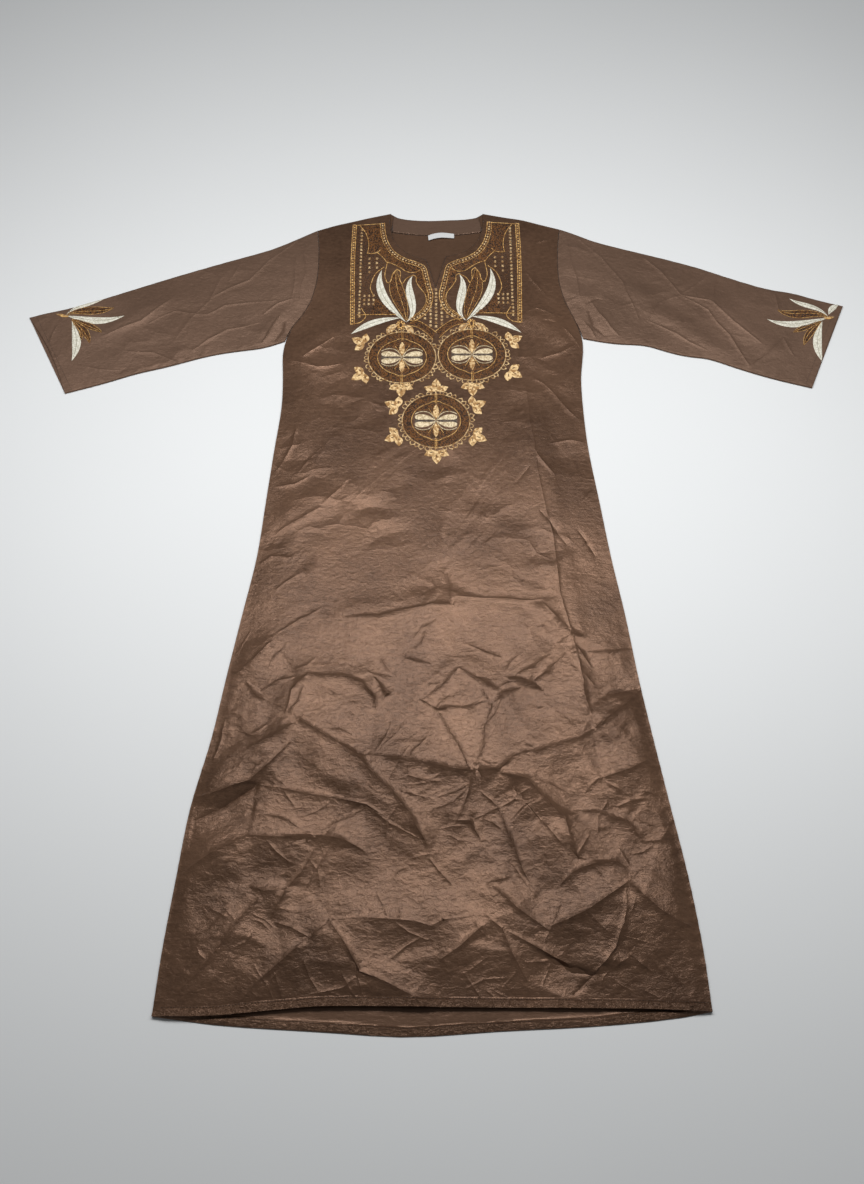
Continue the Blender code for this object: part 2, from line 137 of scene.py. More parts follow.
floor_mesh = bmesh.new()
bmesh.ops.create_grid(floor_mesh, x_segments=1, y_segments=1, size=FLOOR_HALF)
bmesh.ops.translate(floor_mesh, verts=floor_mesh.verts, vec=(0.0, 0.0, -FLOOR_BELOW))
floor = put_in_scene("surface", floor_mesh, matt_surface())


def soft_light(name, place, aim, size, power, glossy=True):
    """Rectangular soft light aimed at a point, seen in gloss or only lighting matt surfaces."""
    data = bpy.data.lights.new(name, "AREA")
    data.shape = "RECTANGLE"
    data.size, data.size_y = size
    data.energy = power
    light = bpy.data.objects.new(name, data)
    light.location = place
    light.rotation_euler = (Vector(aim) - Vector(place)).to_track_quat("-Z", "Y").to_euler()
    light.visible_camera = False
    light.visible_glossy = glossy
    bpy.context.scene.collection.objects.link(light)


soft_light("soft_light_beyond_neck", place=(0.05, 0.80, 2.4), aim=(0.0, -0.10, 0.0),
           size=(2.0, 0.5), power=24.0)
soft_light("overhead_fill", place=(0.0, 0.20, 1.15), aim=(0.0, 0.20, 0.0),
           size=(1.9, 0.5), power=14.0, glossy=False)

world = bpy.data.worlds.new("soft_room")
world.use_nodes = True
background = world.node_tree.nodes["Background"]
background.inputs["Color"].default_value = ROOM_COLOUR
background.inputs["Strength"].default_value = ROOM_STRENGTH
bpy.context.scene.world = world
bpy.context.scene.view_settings.view_transform = "Standard"

camera_data = bpy.data.cameras.new("camera")
camera_data.lens = LENS_MM
camera_data.sensor_width = SENSOR_MM
camera = bpy.data.objects.new("camera", camera_data)
camera.location = CAMERA_PLACE
camera.rotation_euler = (CAMERA_TILT, 0.0, 0.0)
bpy.context.scene.collection.objects.link(camera)
bpy.context.scene.camera = camera

# Back of the dress
# One length of brown satin with a shallow neck, its right side down on the surface. Its inside
# shows in the neck and as a strip past the front's hem, where its own hem is turned up and sewn.
WELD = 0.00002
BACK_BROWN = ((0.150, 0.083, 0.050), (0.185, 0.103, 0.063))
BACK_CELL = 4.0
BACK_FINE_CELL = 0.4
NECK_SHOWS_TO = 18.0
HEM_SHOWS_FROM = 135.0
BACK_HEM = ((-37.2, 138.1), (-28.0, 139.2), (-15.0, 140.0), (-4.0, 140.6),
            (8.0, 139.9), (20.0, 139.3), (30.0, 138.4), (35.5, 137.5))
BACK_HEM_DEPTH = 1.0
PUCKER_MM = 0.9
UNEVEN_OVER = 3.0
UNEVENNESS = 0.045

Crease = namedtuple("Crease", "rise left right line")
BACK_CREASES = (
    Crease(2.6, 0.9, 1.5, ((1.2, 6.0), (1.8, 7.8), (2.1, 10.4))),
    Crease(0.8, 1.2, 1.8, ((-5.6, 6.4), (-4.4, 9.0), (-2.6, 11.6))),
)
FLANK_SHARE = 0.40
RIDGE_POWER = 0.65
RIM_ANGLE = math.radians(50.0)
HEM_PUCKER_SIZE = 0.9

SATIN_METALLIC = 0.52
SATIN_SPECULAR = 0.45
SATIN_ANISOTROPY = 0.20
SLUB_SCALE = (75.0, 340.0, 40.0)
FINE_SCALE = 190.0
SNAP_SCALE = 46.0
FOLD_SCALE = 17.0
WARP_SCALE = 520.0
WEFT_SCALE = 420.0
WEAVE_DEPTH = 0.00003
SLUB_DEPTH = 0.00028
FINE_DEPTH = 0.0011
SNAP_DEPTH = 0.0008
FOLD_DEPTH = 0.0030

# The noise behind the crumples starts from the clock unless it is given a seed.
CRUMPLE_SEED = 4
noise.seed_set(CRUMPLE_SEED)


def smooth(share):
    """Rise from 0 to 1 with no kink at either end, on numbers or arrays."""
    share = np.clip(share, 0.0, 1.0)
    return share * share * (3.0 - 2.0 * share)


def math_of(tree, operation, first, second):
    """Math of two sockets, as a socket."""
    made = node(tree, "Math", operation=operation)
    tree.links.new(first, made.inputs[0])
    tree.links.new(second, made.inputs[1])
    return made.outputs["Value"]


def satin(name, browns, grain=0.0, gloss=(0.25, 0.33)):
    """Brown satin with slubs, crinkle shade painted into its colour, and crinkles and scarce soft folds as
    strong as the cloth says.
    """
    material, tree, shader = new_material(name)
    link = tree.links.new
    shader.inputs["Metallic"].default_value = SATIN_METALLIC
    shader.inputs["Specular IOR Level"].default_value = SATIN_SPECULAR
    shader.inputs["Anisotropic"].default_value = SATIN_ANISOTROPY
    slow = texture(tree, "Noise", {"Scale": 7.0, "Detail": 3.0})
    slub = texture(tree, "Noise", {"Scale": 1.0, "Detail": 3.0, "Roughness": 0.65},
                   object_place(tree, SLUB_SCALE, grain))
    fine = texture(tree, "Noise", {"Scale": FINE_SCALE, "Detail": 3.0, "Roughness": 0.62, "Distortion": 0.5},
                   object_place(tree, (0.7, 1.0, 1.0), grain))
    # The slow noise and the slubs give the cloth's own tone. The fine crinkle noise mixed in with them is
    # painted crinkle shade.
    total = slow.outputs["Fac"]
    for slub_and_painted_crinkle, share in ((slub, 0.35), (fine, 0.60)):
        mixed = node(tree, "Math", {1: share}, operation="MULTIPLY_ADD")
        link(slub_and_painted_crinkle.outputs["Fac"], mixed.inputs[0])
        link(total, mixed.inputs[2])
        total = mixed.outputs["Value"]
    shade = node(tree, "MapRange", {"From Min": 0.76, "From Max": 1.18})
    link(total, shade.inputs["Value"])
    link(shade_range(tree, shade.outputs["Result"], *browns), shader.inputs["Base Color"])
    rough = node(tree, "MapRange", {"To Min": gloss[0], "To Max": gloss[1]})
    link(slub.outputs["Fac"], rough.inputs["Value"])
    link(rough.outputs["Result"], shader.inputs["Roughness"])
    snapped = texture(tree, "Noise", {"Scale": SNAP_SCALE, "Detail": 3.0, "Distortion": 0.8},
                      object_place(tree, (0.6, 1.0, 1.0), grain + 0.5), noise_type="RIDGED_MULTIFRACTAL")
    bend = texture(tree, "Noise", {"Scale": 22.0, "Detail": 2.0})
    bent = node(tree, "VectorMath", {1: (0.035, 0.035, 0.0)}, operation="MULTIPLY_ADD")
    link(bend.outputs["Color"], bent.inputs[0])
    link(object_place(tree, (0.7, 1.0, 0.0), grain + 0.4), bent.inputs[2])
    nearest, second = (texture(tree, "Voronoi", {"Scale": FOLD_SCALE}, bent.outputs["Vector"],
                               feature=feature).outputs["Distance"] for feature in ("F1", "F2"))
    scarce = texture(tree, "Noise", {"Scale": 9.0, "Detail": 1.0})
    shown = node(tree, "MapRange", {"From Min": 0.44, "From Max": 0.62})
    link(scarce.outputs["Fac"], shown.inputs["Value"])
    crinkled, folded = (node(tree, "Attribute", attribute_name=name).outputs["Fac"]
                        for name in ("crinkle", "folded"))
    warp, weft = (texture(tree, "Wave", {"Scale": scale}, object_place(tree, turn=grain),
                          bands_direction=direction).outputs["Fac"]
                  for direction, scale in (("X", WARP_SCALE), ("Y", WEFT_SCALE)))
    surface = bump(tree, math_of(tree, "MULTIPLY", warp, weft), WEAVE_DEPTH)
    relief = (
        (slub.outputs["Fac"], crinkled, SLUB_DEPTH),
        (fine.outputs["Fac"], crinkled, FINE_DEPTH),
        (snapped.outputs["Fac"], crinkled, SNAP_DEPTH),
        (math_of(tree, "SUBTRACT", nearest, second),
         math_of(tree, "MULTIPLY", folded, shown.outputs["Result"]), FOLD_DEPTH),
    )
    for height, strength, depth in relief:
        surface = bump(tree, math_of(tree, "MULTIPLY", height, strength), depth, surface)
    link(surface, shader.inputs["Normal"])
    return material


def set_crinkle(mesh, crinkle, folded):
    """How strongly the satin is crinkled and softly folded at each vertex, for its material."""
    for name, amounts in (("crinkle", crinkle), ("folded", folded)):
        attribute = mesh.attributes.new(name, "FLOAT", "POINT")
        attribute.data.foreach_set("value", np.broadcast_to(amounts, len(mesh.vertices)).astype(np.float32))


def solid_copy(node_name):
    """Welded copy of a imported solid's mesh."""
    bm = bmesh.new()
    bm.from_mesh(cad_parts[node_name].data)
    bmesh.ops.remove_doubles(bm, verts=bm.verts, dist=WELD)
    return bm


def cut_every(bm, low, high, step, across):
    """Cut a mesh by planes at even steps, across X or down Y."""
    normal = Vector((1.0, 0.0, 0.0)) if across else Vector((0.0, 1.0, 0.0))
    for place in np.arange(low + step / 2, high, step):
        bmesh.ops.bisect_plane(bm, geom=bm.verts[:] + bm.edges[:] + bm.faces[:], dist=WELD,
                               plane_co=normal * float(place), plane_no=normal)


def hand_line(crease):
    """A crease's line, made slightly uneven between the given places."""
    points = [np.array(crease.line[0], float)]
    for start, end in zip(crease.line, crease.line[1:]):
        run = np.subtract(end, start)
        if math.hypot(*run) > UNEVEN_OVER:
            aside = UNEVENNESS * math.sin(3.1 * start[0] + 1.7 * end[1]) * np.array((-run[1], run[0]))
            points.append(start + 0.46 * run + aside)
        points.append(np.array(end, float))
    return np.array(points)


def crease_lift(across, down, creases):
    """Height that creases give at places, in millimetres: hollow flanks that meet in a crest or fold."""
    ridges, troughs = np.zeros(len(across)), np.zeros(len(across))
    places = np.stack([across, down], axis=1)
    for crease in creases:
        line = hand_line(crease)
        widest = max(crease.left, crease.right)
        near = np.all((places > line.min(0) - widest) & (places < line.max(0) + widest), axis=1)
        if not near.any():
            continue
        spots = places[near]
        nearest, side, reached = np.full(len(spots), 1e6), np.zeros(len(spots)), np.zeros(len(spots))
        length = 0.0
        for start, end in zip(line, line[1:]):
            run = end - start
            share = np.clip((spots - start) @ run / (run @ run), 0.0, 1.0)
            away = spots - start - share[:, None] * run
            distance = np.hypot(*away.T)
            closer = distance < nearest
            nearest[closer] = distance[closer]
            turn = run[1] * (spots - start)[:, 0] - run[0] * (spots - start)[:, 1]
            side[closer] = turn[closer]
            reached[closer] = length + share[closer] * math.hypot(*run)
            length += math.hypot(*run)
        widest_at = 0.5 + 0.22 * math.sin(2.3 * line[0, 0] + line[0, 1])
        share = reached / length
        spread = np.clip(np.minimum(share / widest_at, (1.0 - share) / (1.0 - widest_at)), 0.0, 1.0)
        reach = FLANK_SHARE * np.where(side > 0, crease.left, crease.right) * (0.4 + 0.6 * spread)
        flank = np.clip(1.0 - nearest / reach, 0.0, 1.0)
        tallest = crease.rise ** RIDGE_POWER if crease.rise > 0 else -crease.rise
        height = tallest * (0.4 + 0.6 * spread) * (0.5 * flank + 0.5 * flank ** 3)
        stack = ridges if crease.rise > 0 else troughs
        stack[near] = np.maximum(stack[near], height)
    return ridges - troughs


def crumple(across, down, fold_size, layer):
    """Unplanned crumples from one layer of a noise: facets that meet in crests, mostly 0 to 1 high."""
    heights = np.empty(len(across))
    for index, (here, below) in enumerate(zip(across, down)):
        spot = Vector((here / fold_size, below / (0.72 * fold_size), layer))
        bent = spot + 0.35 * noise.noise_vector(0.9 * spot)
        away = noise.voronoi(bent)[0]
        crest = 1.0 - min((away[1] - away[0]) / 0.55, 1.0)
        heights[index] = crest * (0.55 + 0.8 * noise.noise(0.6 * spot))
    return heights


def vertex_places(mesh):
    """Each vertex across from the middle and down from the neck points in centimetres, and its height."""
    flat = np.empty(len(mesh.vertices) * 3)
    mesh.vertices.foreach_get("co", flat)
    points = flat.reshape(-1, 3)
    return points[:, 0] / CM, (NECK_POINT_Y - points[:, 1]) / CM, points


def set_heights(mesh, points):
    """Write moved points back to a mesh."""
    mesh.vertices.foreach_set("co", points.ravel())
    mesh.update()


def hem_place(hem, across):
    """How far down a hem's edge lies at places across."""
    across_knots, down_knots = np.array(hem).T
    return np.interp(across, across_knots, down_knots)


back_mesh = solid_copy("back_panel")
low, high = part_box("back_panel")
cut_every(back_mesh, low.x, high.x, BACK_CELL * CM, across=True)
cut_every(back_mesh, low.y, high.y, BACK_CELL * CM, across=False)
cut_every(back_mesh, NECK_POINT_Y - NECK_SHOWS_TO * CM, high.y, BACK_FINE_CELL * CM, across=False)
cut_every(back_mesh, -0.10, 0.10, BACK_FINE_CELL * CM, across=True)
cut_every(back_mesh, low.y, NECK_POINT_Y - HEM_SHOWS_FROM * CM, BACK_FINE_CELL * CM, across=False)
bmesh.ops.triangulate(back_mesh, faces=[face for face in back_mesh.faces if len(face.verts) > 4])
back_cloth = put_in_scene("back_cloth", back_mesh, satin("back_satin", BACK_BROWN))
back_cloth.data.set_sharp_from_angle(angle=RIM_ANGLE)
across, down, points = vertex_places(back_cloth.data)
on_top = points[:, 2] > 0.6 * MM
from_hem = hem_place(BACK_HEM, across) - down
in_hem = smooth((BACK_HEM_DEPTH + 0.2 - from_hem) / 0.3)
lift = crease_lift(across, down, BACK_CREASES)
lift += in_hem * (0.2 + 2.0 * np.clip(from_hem / BACK_HEM_DEPTH, 0.0, 1.0)) * (from_hem > 0.05)
lift += in_hem * PUCKER_MM * crumple(across, down, HEM_PUCKER_SIZE, 3.3) * (from_hem > 0.05)
points[:, 2] += np.where(on_top, lift, 0.0) * MM
set_heights(back_cloth.data, points)
set_crinkle(back_cloth.data, 0.25 + 3.4 * in_hem, 0.2)
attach(back_cloth, "root")
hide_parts("back_panel")

# Neck facing and label
# The facing is a band of the same satin, sewn round the inside of the back neck. The label is
# a strip of white woven tape caught in the facing's lower edge, and it is left blank.
FACING_BROWN = ((0.190, 0.116, 0.080), (0.222, 0.136, 0.094))
FACING_CELL = 0.35
FACING_EASE = 1.06
LABEL_CELL = 0.2
LABEL_BOW_MM = 0.7
LABEL_DROOP = 0.3
TAPE_WHITES = ((0.56, 0.57, 0.57), (0.74, 0.74, 0.73))
RIB_SCALE = 330.0
RIB_TURN = 0.05
RIB_DEPTH = 0.0001


def woven_tape(name):
    """White tape with a fine rib across it."""
    material, tree, shader = new_material(name)
    shader.inputs["Roughness"].default_value = 0.7
    shader.inputs["Sheen Weight"].default_value = 0.2
    rib = texture(tree, "Wave", {"Scale": RIB_SCALE}, object_place(tree, turn=RIB_TURN),
                  bands_direction="Y")
    tree.links.new(shade_range(tree, rib.outputs["Fac"], *TAPE_WHITES), shader.inputs["Base Color"])
    tree.links.new(bump(tree, rib.outputs["Fac"], RIB_DEPTH), shader.inputs["Normal"])
    return material


def flat_copy(node_name, name, cell, material):
    """Flat sewn piece cut into small cells, so that it can bend."""
    bm = solid_copy(node_name)
    low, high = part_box(node_name)
    cut_every(bm, low.x, high.x, cell * CM, across=True)
    cut_every(bm, low.y, high.y, cell * CM, across=False)
    piece = put_in_scene(name, bm, material)
    piece.data.set_sharp_from_angle(angle=RIM_ANGLE)
    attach(piece, "root")
    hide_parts(node_name)
    return piece


facing = flat_copy("back_neck_facing", "neck_facing", FACING_CELL, satin("facing_satin", FACING_BROWN))
set_crinkle(facing.data, 0.35, 0.3)
across, down, points = vertex_places(facing.data)
points[:, 0] *= FACING_EASE
points[:, 2] += 0.25 * MM * (1.0 + np.sin(across * 0.9)) * smooth((down - 2.0) / 3.0)
set_heights(facing.data, points)

label = flat_copy("neck_label", "blank_label", LABEL_CELL, woven_tape("label_tape"))
across, down, points = vertex_places(label.data)
points[:, 2] += LABEL_BOW_MM * MM * np.sin(np.clip((across + 1.6) / 4.6, 0.0, 1.0) * math.pi)
points[:, 1] -= LABEL_DROOP * CM
set_heights(label.data, points)

# Front of the dress
# One length of the same satin lying on the back, sewn to it at the shoulders and sides. It is
# pressed in places and crumpled over the skirt, and its hem is turned up 1.1 cm and sewn.
FRONT_BROWN = ((0.106, 0.057, 0.034), (0.196, 0.108, 0.065))
FRONT_HEM = ((-37.2, 138.1), (-30.0, 138.1), (-22.0, 137.4), (-15.0, 136.9),
             (0.0, 137.0), (15.0, 137.1), (27.0, 137.2), (35.5, 137.5))
FRONT_HEM_DEPTH = 1.1
SLIT_POINTS = ((-1.9, 11.0), (-0.3, 17.2), (1.5, 10.3))
FRONT_BORDER = ((-27.0, 55.0), (-14.0, 62.0), (0.0, 60.0), (14.0, 62.0), (27.0, 55.0),
                (-31.0, 85.0), (31.0, 84.0), (-34.0, 110.0), (34.5, 106.0),
                (-37.0, 137.0), (-20.0, 137.5), (0.0, 137.5), (20.0, 137.5), (36.0, 137.0))
SHARP_EDGE = math.radians(35.0)
FOLD_ANGLE = math.radians(60.0)
SMOOTHING_LEVELS = 1
CREASED_FROM = 73.0
EVENING_PASSES = 4
CUT_CELL = 0.02
CUT_REACH = 0.005
CUT_SNAP = 0.0006
CREST_SHARE = 0.75
FACET_SHARE = 1.20
SMALL_CREASES = 110
RELIEF_KEPT = 0.45
FLAT_TOP_MM = 6.9
BACK_TOP_MM = 1.45
SEAM_FADE = 2.2
SIDES_FROM_X = 0.20
SHOULDERS_FROM_X = 0.083
SHOULDERS_FROM_Y = 0.655
Crumples = namedtuple("Crumples", "rise fold_size layer")
SKIRT_CRUMPLES = (Crumples(1.3, 8.0, 2.3), Crumples(0.7, 3.4, 8.1))
FINE_CRUMPLES = (Crumples(0.22, 1.6, 4.7),)
FRONT_CREASES = (
    Crease(4.2, 2.2, 3.6, ((-20, 97), (-11, 103), (-8.5, 106), (-4, 111), (-1.8, 115))),
    Crease(1.6, 1.0, 1.4, ((-10, 110), (-2, 115))),
    Crease(3.0, 2.0, 2.6, ((-27, 101.5), (-25, 100.5), (-20.3, 97.5))),
    Crease(3.2, 2.4, 2.0, ((-34, 108.6), (-30, 107.6), (-26.5, 106.3), (-21, 100.4))),
    Crease(-2.2, 1.6, 2.0, ((-34, 112), (-25.5, 106.9))),
    Crease(2.4, 1.8, 2.6, ((-25, 106.9), (-18.5, 108.2), (-10, 109.8), (-6, 112.5))),
    Crease(1.6, 1.2, 1.6, ((-16.8, 114), (-10.2, 110.2))),
    Crease(2.8, 2.4, 3.2, ((-26, 114.2), (-17, 114.3), (-13, 114.8), (-10.4, 116.2))),
    Crease(4.0, 2.6, 3.2, ((-35, 119.5), (-26, 114.2))),
    Crease(2.2, 1.6, 2.0, ((-25.5, 121.2), (-23.5, 121.9), (-20.5, 121.4))),
    Crease(2.4, 1.5, 1.8, ((-22.3, 125.6), (-20.5, 121.5), (-16.8, 115.8))),
    Crease(1.6, 1.2, 1.5, ((-18, 121.5), (-15, 116))),
    Crease(3.0, 2.0, 2.4, ((-34, 135), (-29, 129.3), (-24, 122.6))),
    Crease(2.8, 1.8, 2.0, ((-22, 126), (-17, 128.2), (-14.7, 126))),
    Crease(3.0, 1.8, 2.4, ((-26, 136.5), (-20.5, 131), (-17, 128))),
    Crease(3.8, 2.2, 2.4, ((-14.7, 125.8), (-10.3, 132.6), (-3.5, 135.6), (-1.8, 137))),
    Crease(2.0, 1.4, 1.6, ((-17, 135.4), (-12.5, 134.6), (-10.4, 132.8))),
    Crease(1.7, 2.0, 3.2, ((-14.5, 125.7), (-5, 125.8), (-1, 126.6), (0.5, 125.8), (6, 124.9))),
    Crease(3.2, 2.0, 2.4, ((0.2, 131), (5.8, 126.6), (6.3, 128.2))),
    Crease(3.0, 2.0, 2.4, ((6.2, 125), (8.5, 127), (11.5, 133.6))),
    Crease(3.0, 2.0, 2.2, ((8.5, 127), (15, 130.6), (17, 131.5))),
    Crease(3.8, 2.6, 2.0, ((7.5, 121.3), (14.7, 127.3))),
    Crease(2.0, 1.4, 1.8, ((6.5, 121), (10, 119.9))),
    Crease(1.6, 1.2, 1.4, ((-1.3, 117.3), (1.8, 121))),
    Crease(2.0, 1.4, 1.6, ((2, 112), (4.5, 112.1), (6, 114.9))),
    Crease(1.4, 1.0, 1.2, ((0.5, 113.2), (4, 112.9))),
    Crease(1.8, 1.2, 1.6, ((4.7, 111.8), (8.3, 110.2), (6, 108))),
    Crease(2.2, 1.6, 1.8, ((8.3, 110.2), (10.5, 116), (13, 122))),
    Crease(2.4, 1.6, 1.8, ((2.2, 112.5), (4.3, 107.5), (4.6, 104.9))),
    Crease(2.6, 1.8, 2.0, ((0, 95.7), (2.2, 100), (4.7, 104.8))),
    Crease(2.6, 1.8, 2.0, ((5.3, 104.6), (6.4, 101), (7.8, 94.5))),
    Crease(1.8, 1.2, 1.4, ((-9.5, 90.3), (-7.5, 93), (-6.5, 92.7))),
    Crease(1.4, 1.0, 1.2, ((-8.3, 94.6), (-7.7, 93.2))),
    Crease(2.4, 1.6, 2.2, ((-2.5, 94), (0, 95.5), (3.5, 95.3), (7.5, 94.1))),
    Crease(2.2, 1.4, 1.8, ((-2, 94), (3, 89))),
    Crease(2.4, 1.6, 2.0, ((3, 89), (5, 90.3), (9, 92.5))),
    Crease(2.0, 1.4, 1.8, ((7.9, 94.5), (9.5, 93), (12, 92))),
    Crease(1.8, 1.2, 1.6, ((10, 90.5), (13, 91), (15.2, 92.5))),
    Crease(2.0, 1.4, 1.8, ((11.5, 90), (16.5, 86.8))),
    Crease(1.8, 1.2, 1.6, ((14, 90.8), (18.8, 86.7))),
    Crease(4.0, 2.4, 3.4, ((-10, 102.6), (-4.5, 103.3), (0, 104.1), (4.6, 104.9), (8.5, 104.7),
                           (10.5, 103), (14, 101.9), (20, 100), (22.3, 98.8))),
    Crease(4.4, 2.2, 3.0, ((8.8, 105.2), (12.5, 106.1), (17.5, 111.8), (19, 117.3))),
    Crease(2.0, 1.2, 1.4, ((10, 107), (15, 113), (19, 117.4))),
    Crease(-1.6, 1.2, 1.4, ((10.5, 107.5), (14, 112))),
    Crease(1.8, 1.2, 1.4, ((19, 117.6), (22.5, 117.2))),
    Crease(3.0, 2.0, 2.6, ((16.2, 121.3), (18, 119.5), (21.5, 118.1), (24, 117.9), (25.5, 119))),
    Crease(4.6, 2.6, 3.2, ((15, 126.6), (20, 124.5), (25.7, 120.6))),
    Crease(4.4, 2.6, 3.2, ((25.7, 120.6), (30, 124.8), (34.7, 127))),
    Crease(3.8, 2.2, 2.4, ((20.5, 132.5), (23.4, 129.4), (24.7, 126), (25.3, 122))),
    Crease(2.4, 1.6, 1.8, ((23.6, 129.5), (25.5, 130.5), (28, 132.5))),
    Crease(-2.4, 2.0, 2.0, ((15, 131), (20, 133))),
    Crease(-1.8, 1.4, 1.6, ((17.5, 135.5), (20.5, 132.8))),
    Crease(3.0, 2.2, 2.4, ((22.6, 106), (27, 104.6), (31, 102.4))),
    Crease(1.8, 1.2, 1.6, ((20.5, 108), (23, 105.5))),
    Crease(2.4, 1.6, 2.0, ((18.5, 110.8), (22, 110.6), (26, 112.2), (28.3, 115))),
    Crease(1.6, 1.0, 1.4, ((24.5, 110.3), (26, 112))),
    Crease(2.2, 1.4, 1.8, ((28, 115), (30.5, 114.8), (32.3, 112))),
    Crease(1.8, 1.2, 1.6, ((23.5, 106.5), (27, 108.7))),
    Crease(1.8, 1.2, 1.6, ((25, 110), (29, 108.8))),
    Crease(1.6, 1.2, 1.4, ((24.7, 116), (26, 118.5))),
    Crease(3.4, 2.2, 2.4, ((22.3, 98.7), (25, 96.3), (29.4, 92.2))),
    Crease(-2.2, 1.6, 2.0, ((24.5, 93), (29, 92))),
    Crease(2.6, 1.6, 1.8, ((22.3, 98.7), (21.2, 93), (20.7, 88), (20.1, 84))),
    Crease(1.6, 1.2, 1.4, ((20.2, 85), (22.5, 88.8))),
    Crease(2.8, 1.8, 2.0, ((16, 78.5), (20, 83.3), (21.8, 83.8))),
    Crease(1.6, 1.0, 1.4, ((17.5, 85), (19.8, 83.6))),
    Crease(1.4, 1.0, 1.4, ((22, 86.3), (29, 85.8))),
    Crease(2.0, 1.2, 1.8, ((-14, 80.7), (-9, 80.5), (-3, 79), (1.5, 78.2), (2.3, 78.6))),
    Crease(1.6, 1.2, 1.8, ((3, 77), (11, 77.5), (12.5, 77.8), (16, 77.5))),
    Crease(2.6, 1.6, 2.2, ((-22, 96), (-21.3, 92.5), (-19, 90), (-14, 90.3), (-11, 91.5),
                           (-9.3, 93.3), (-8.9, 95.5))),
    Crease(1.8, 1.4, 1.8, ((-30, 90), (-25, 85), (-24.4, 84.5))),
    Crease(1.6, 1.2, 1.4, ((-28, 91), (-26.5, 93.2), (-25, 94))),
    Crease(1.6, 1.2, 1.6, ((-25.8, 92.5), (-23.5, 91), (-21, 90.4))),
    Crease(1.4, 1.0, 1.2, ((-27, 99.5), (-24.5, 97.8))),
    Crease(1.6, 1.2, 1.4, ((-32, 103.2), (-31, 100), (-30.7, 97))),
    Crease(1.4, 1.2, 1.4, ((-24, 83.3), (-20.5, 80.8), (-17.5, 79))),
    Crease(1.4, 1.0, 1.4, ((-24.5, 75.9), (-21.5, 73.5), (-18.6, 71.4))),
    Crease(1.4, 1.0, 1.4, ((-27.8, 71.8), (-25.5, 70), (-20.5, 70.6))),
    Crease(2.0, 1.4, 1.8, ((-25, 66), (-21.5, 63.5), (-18.3, 61.3))),
    Crease(1.4, 1.0, 1.4, ((-18.2, 60.9), (-14.9, 57.2))),
    Crease(1.4, 1.0, 1.2, ((-14.8, 55.6), (-11, 59.8))),
    Crease(1.8, 1.4, 1.8, ((-26.4, 55.6), (-23.3, 49.5), (-22.8, 46))),
    Crease(1.4, 1.0, 1.4, ((-25.5, 57.4), (-22.6, 57), (-20.6, 55.7))),
    Crease(1.2, 1.4, 1.6, ((-20.4, 54), (-17.5, 48.7))),
    Crease(1.4, 1.2, 2.4, ((15.5, 48), (17, 62), (18.2, 72), (19.6, 82), (21.3, 92), (22.3, 98.5))),
    Crease(-3.4, 1.4, 3.0, ((1.0, 51), (0.9, 60), (1.0, 67))),
    Crease(-1.0, 0.9, 1.6, ((1.0, 67), (1.4, 72), (1.9, 78.3))),
    Crease(1.1, 1.4, 2.4, ((-11.5, 67.8), (-3, 67.0), (4, 67.4), (9, 66.8), (14, 67.2))),
    Crease(1.0, 1.0, 1.4, ((14, 67.4), (15.2, 69.6), (17.6, 71))),
    Crease(1.3, 0.8, 2.0, ((9.8, 38.2), (12.4, 37.5), (15.0, 38.2))),
    Crease(1.0, 0.7, 1.5, ((7.6, 40.6), (9.4, 40.2), (11.6, 41.0))),
    Crease(0.8, 0.6, 1.0, ((11.8, 43.3), (14.2, 43.0))),
    Crease(1.1, 0.8, 1.3, ((7.4, 47.8), (9.8, 47.1), (12.4, 47.9))),
    Crease(1.1, 0.8, 1.6, ((-13.2, 39.6), (-9.6, 39.1), (-6.8, 39.8))),
    Crease(1.2, 0.8, 2.4, ((-12, 51.9), (-8.6, 51.4), (-4.8, 52.0))),
    Crease(1.0, 0.8, 1.6, ((-8.8, 55.2), (-6.2, 56.6), (-3.6, 58.0))),
    Crease(1.0, 0.8, 1.6, ((-22.0, 54.6), (-19.6, 51.2), (-17.3, 48.4))),
    Crease(1.1, 0.8, 1.8, ((4.4, 55.6), (7.6, 54.4), (11.6, 54.8))),
    Crease(1.0, 0.8, 1.8, ((2.6, 61.0), (6.4, 61.9), (9.4, 63.0))),
    Crease(1.0, 0.9, 1.8, ((-10.6, 63.2), (-7.0, 64.6), (-3.8, 64.2))),
    Crease(1.4, 0.9, 1.8, ((15.4, 35.8), (17.6, 37.6), (20.2, 41.2), (23.2, 44.8))),
    Crease(1.2, 0.8, 1.6, ((18.0, 49.4), (21.2, 48.6), (24.6, 49.4))),
    Crease(0.8, 0.5, 0.8, ((21.2, 36.6), (22.6, 34.3))),
    Crease(1.0, 0.9, 1.4, ((13.4, 31), (14.4, 36), (14.9, 42), (15.4, 48))),
    Crease(1.0, 0.8, 1.4, ((23.8, 59.6), (26.6, 57.6))),
    Crease(1.6, 1.0, 1.4, ((15.4, 50), (16.2, 52), (18.6, 55.4))),
    Crease(-1.0, 1.0, 1.2, ((12.3, 57), (14.8, 53.5))),
    Crease(1.2, 1.0, 1.2, ((22.8, 60), (25, 57.5))),
    Crease(-1.2, 1.2, 1.4, ((16, 62), (17.5, 64), (20, 68.3))),
    Crease(-1.2, 1.2, 1.4, ((21.5, 65), (24.3, 70.2))),
    Crease(2.0, 1.4, 1.8, ((-25, 32.5), (-20, 34.2), (-16, 33.4))),
    Crease(1.8, 1.2, 1.6, ((-22.5, 32), (-17.5, 28))),
    Crease(2.0, 1.2, 1.6, ((15.3, 22.5), (17, 21.8), (20, 23.4), (22, 23.3))),
    Crease(-1.6, 1.0, 1.2, ((18, 24.4), (20, 24.8))),
    Crease(1.8, 1.0, 1.4, ((21.3, 25.8), (23, 28), (24.3, 30.5))),
    Crease(2.2, 1.2, 1.8, ((17.3, 32.3), (20.5, 31.2), (23.3, 29.2))),
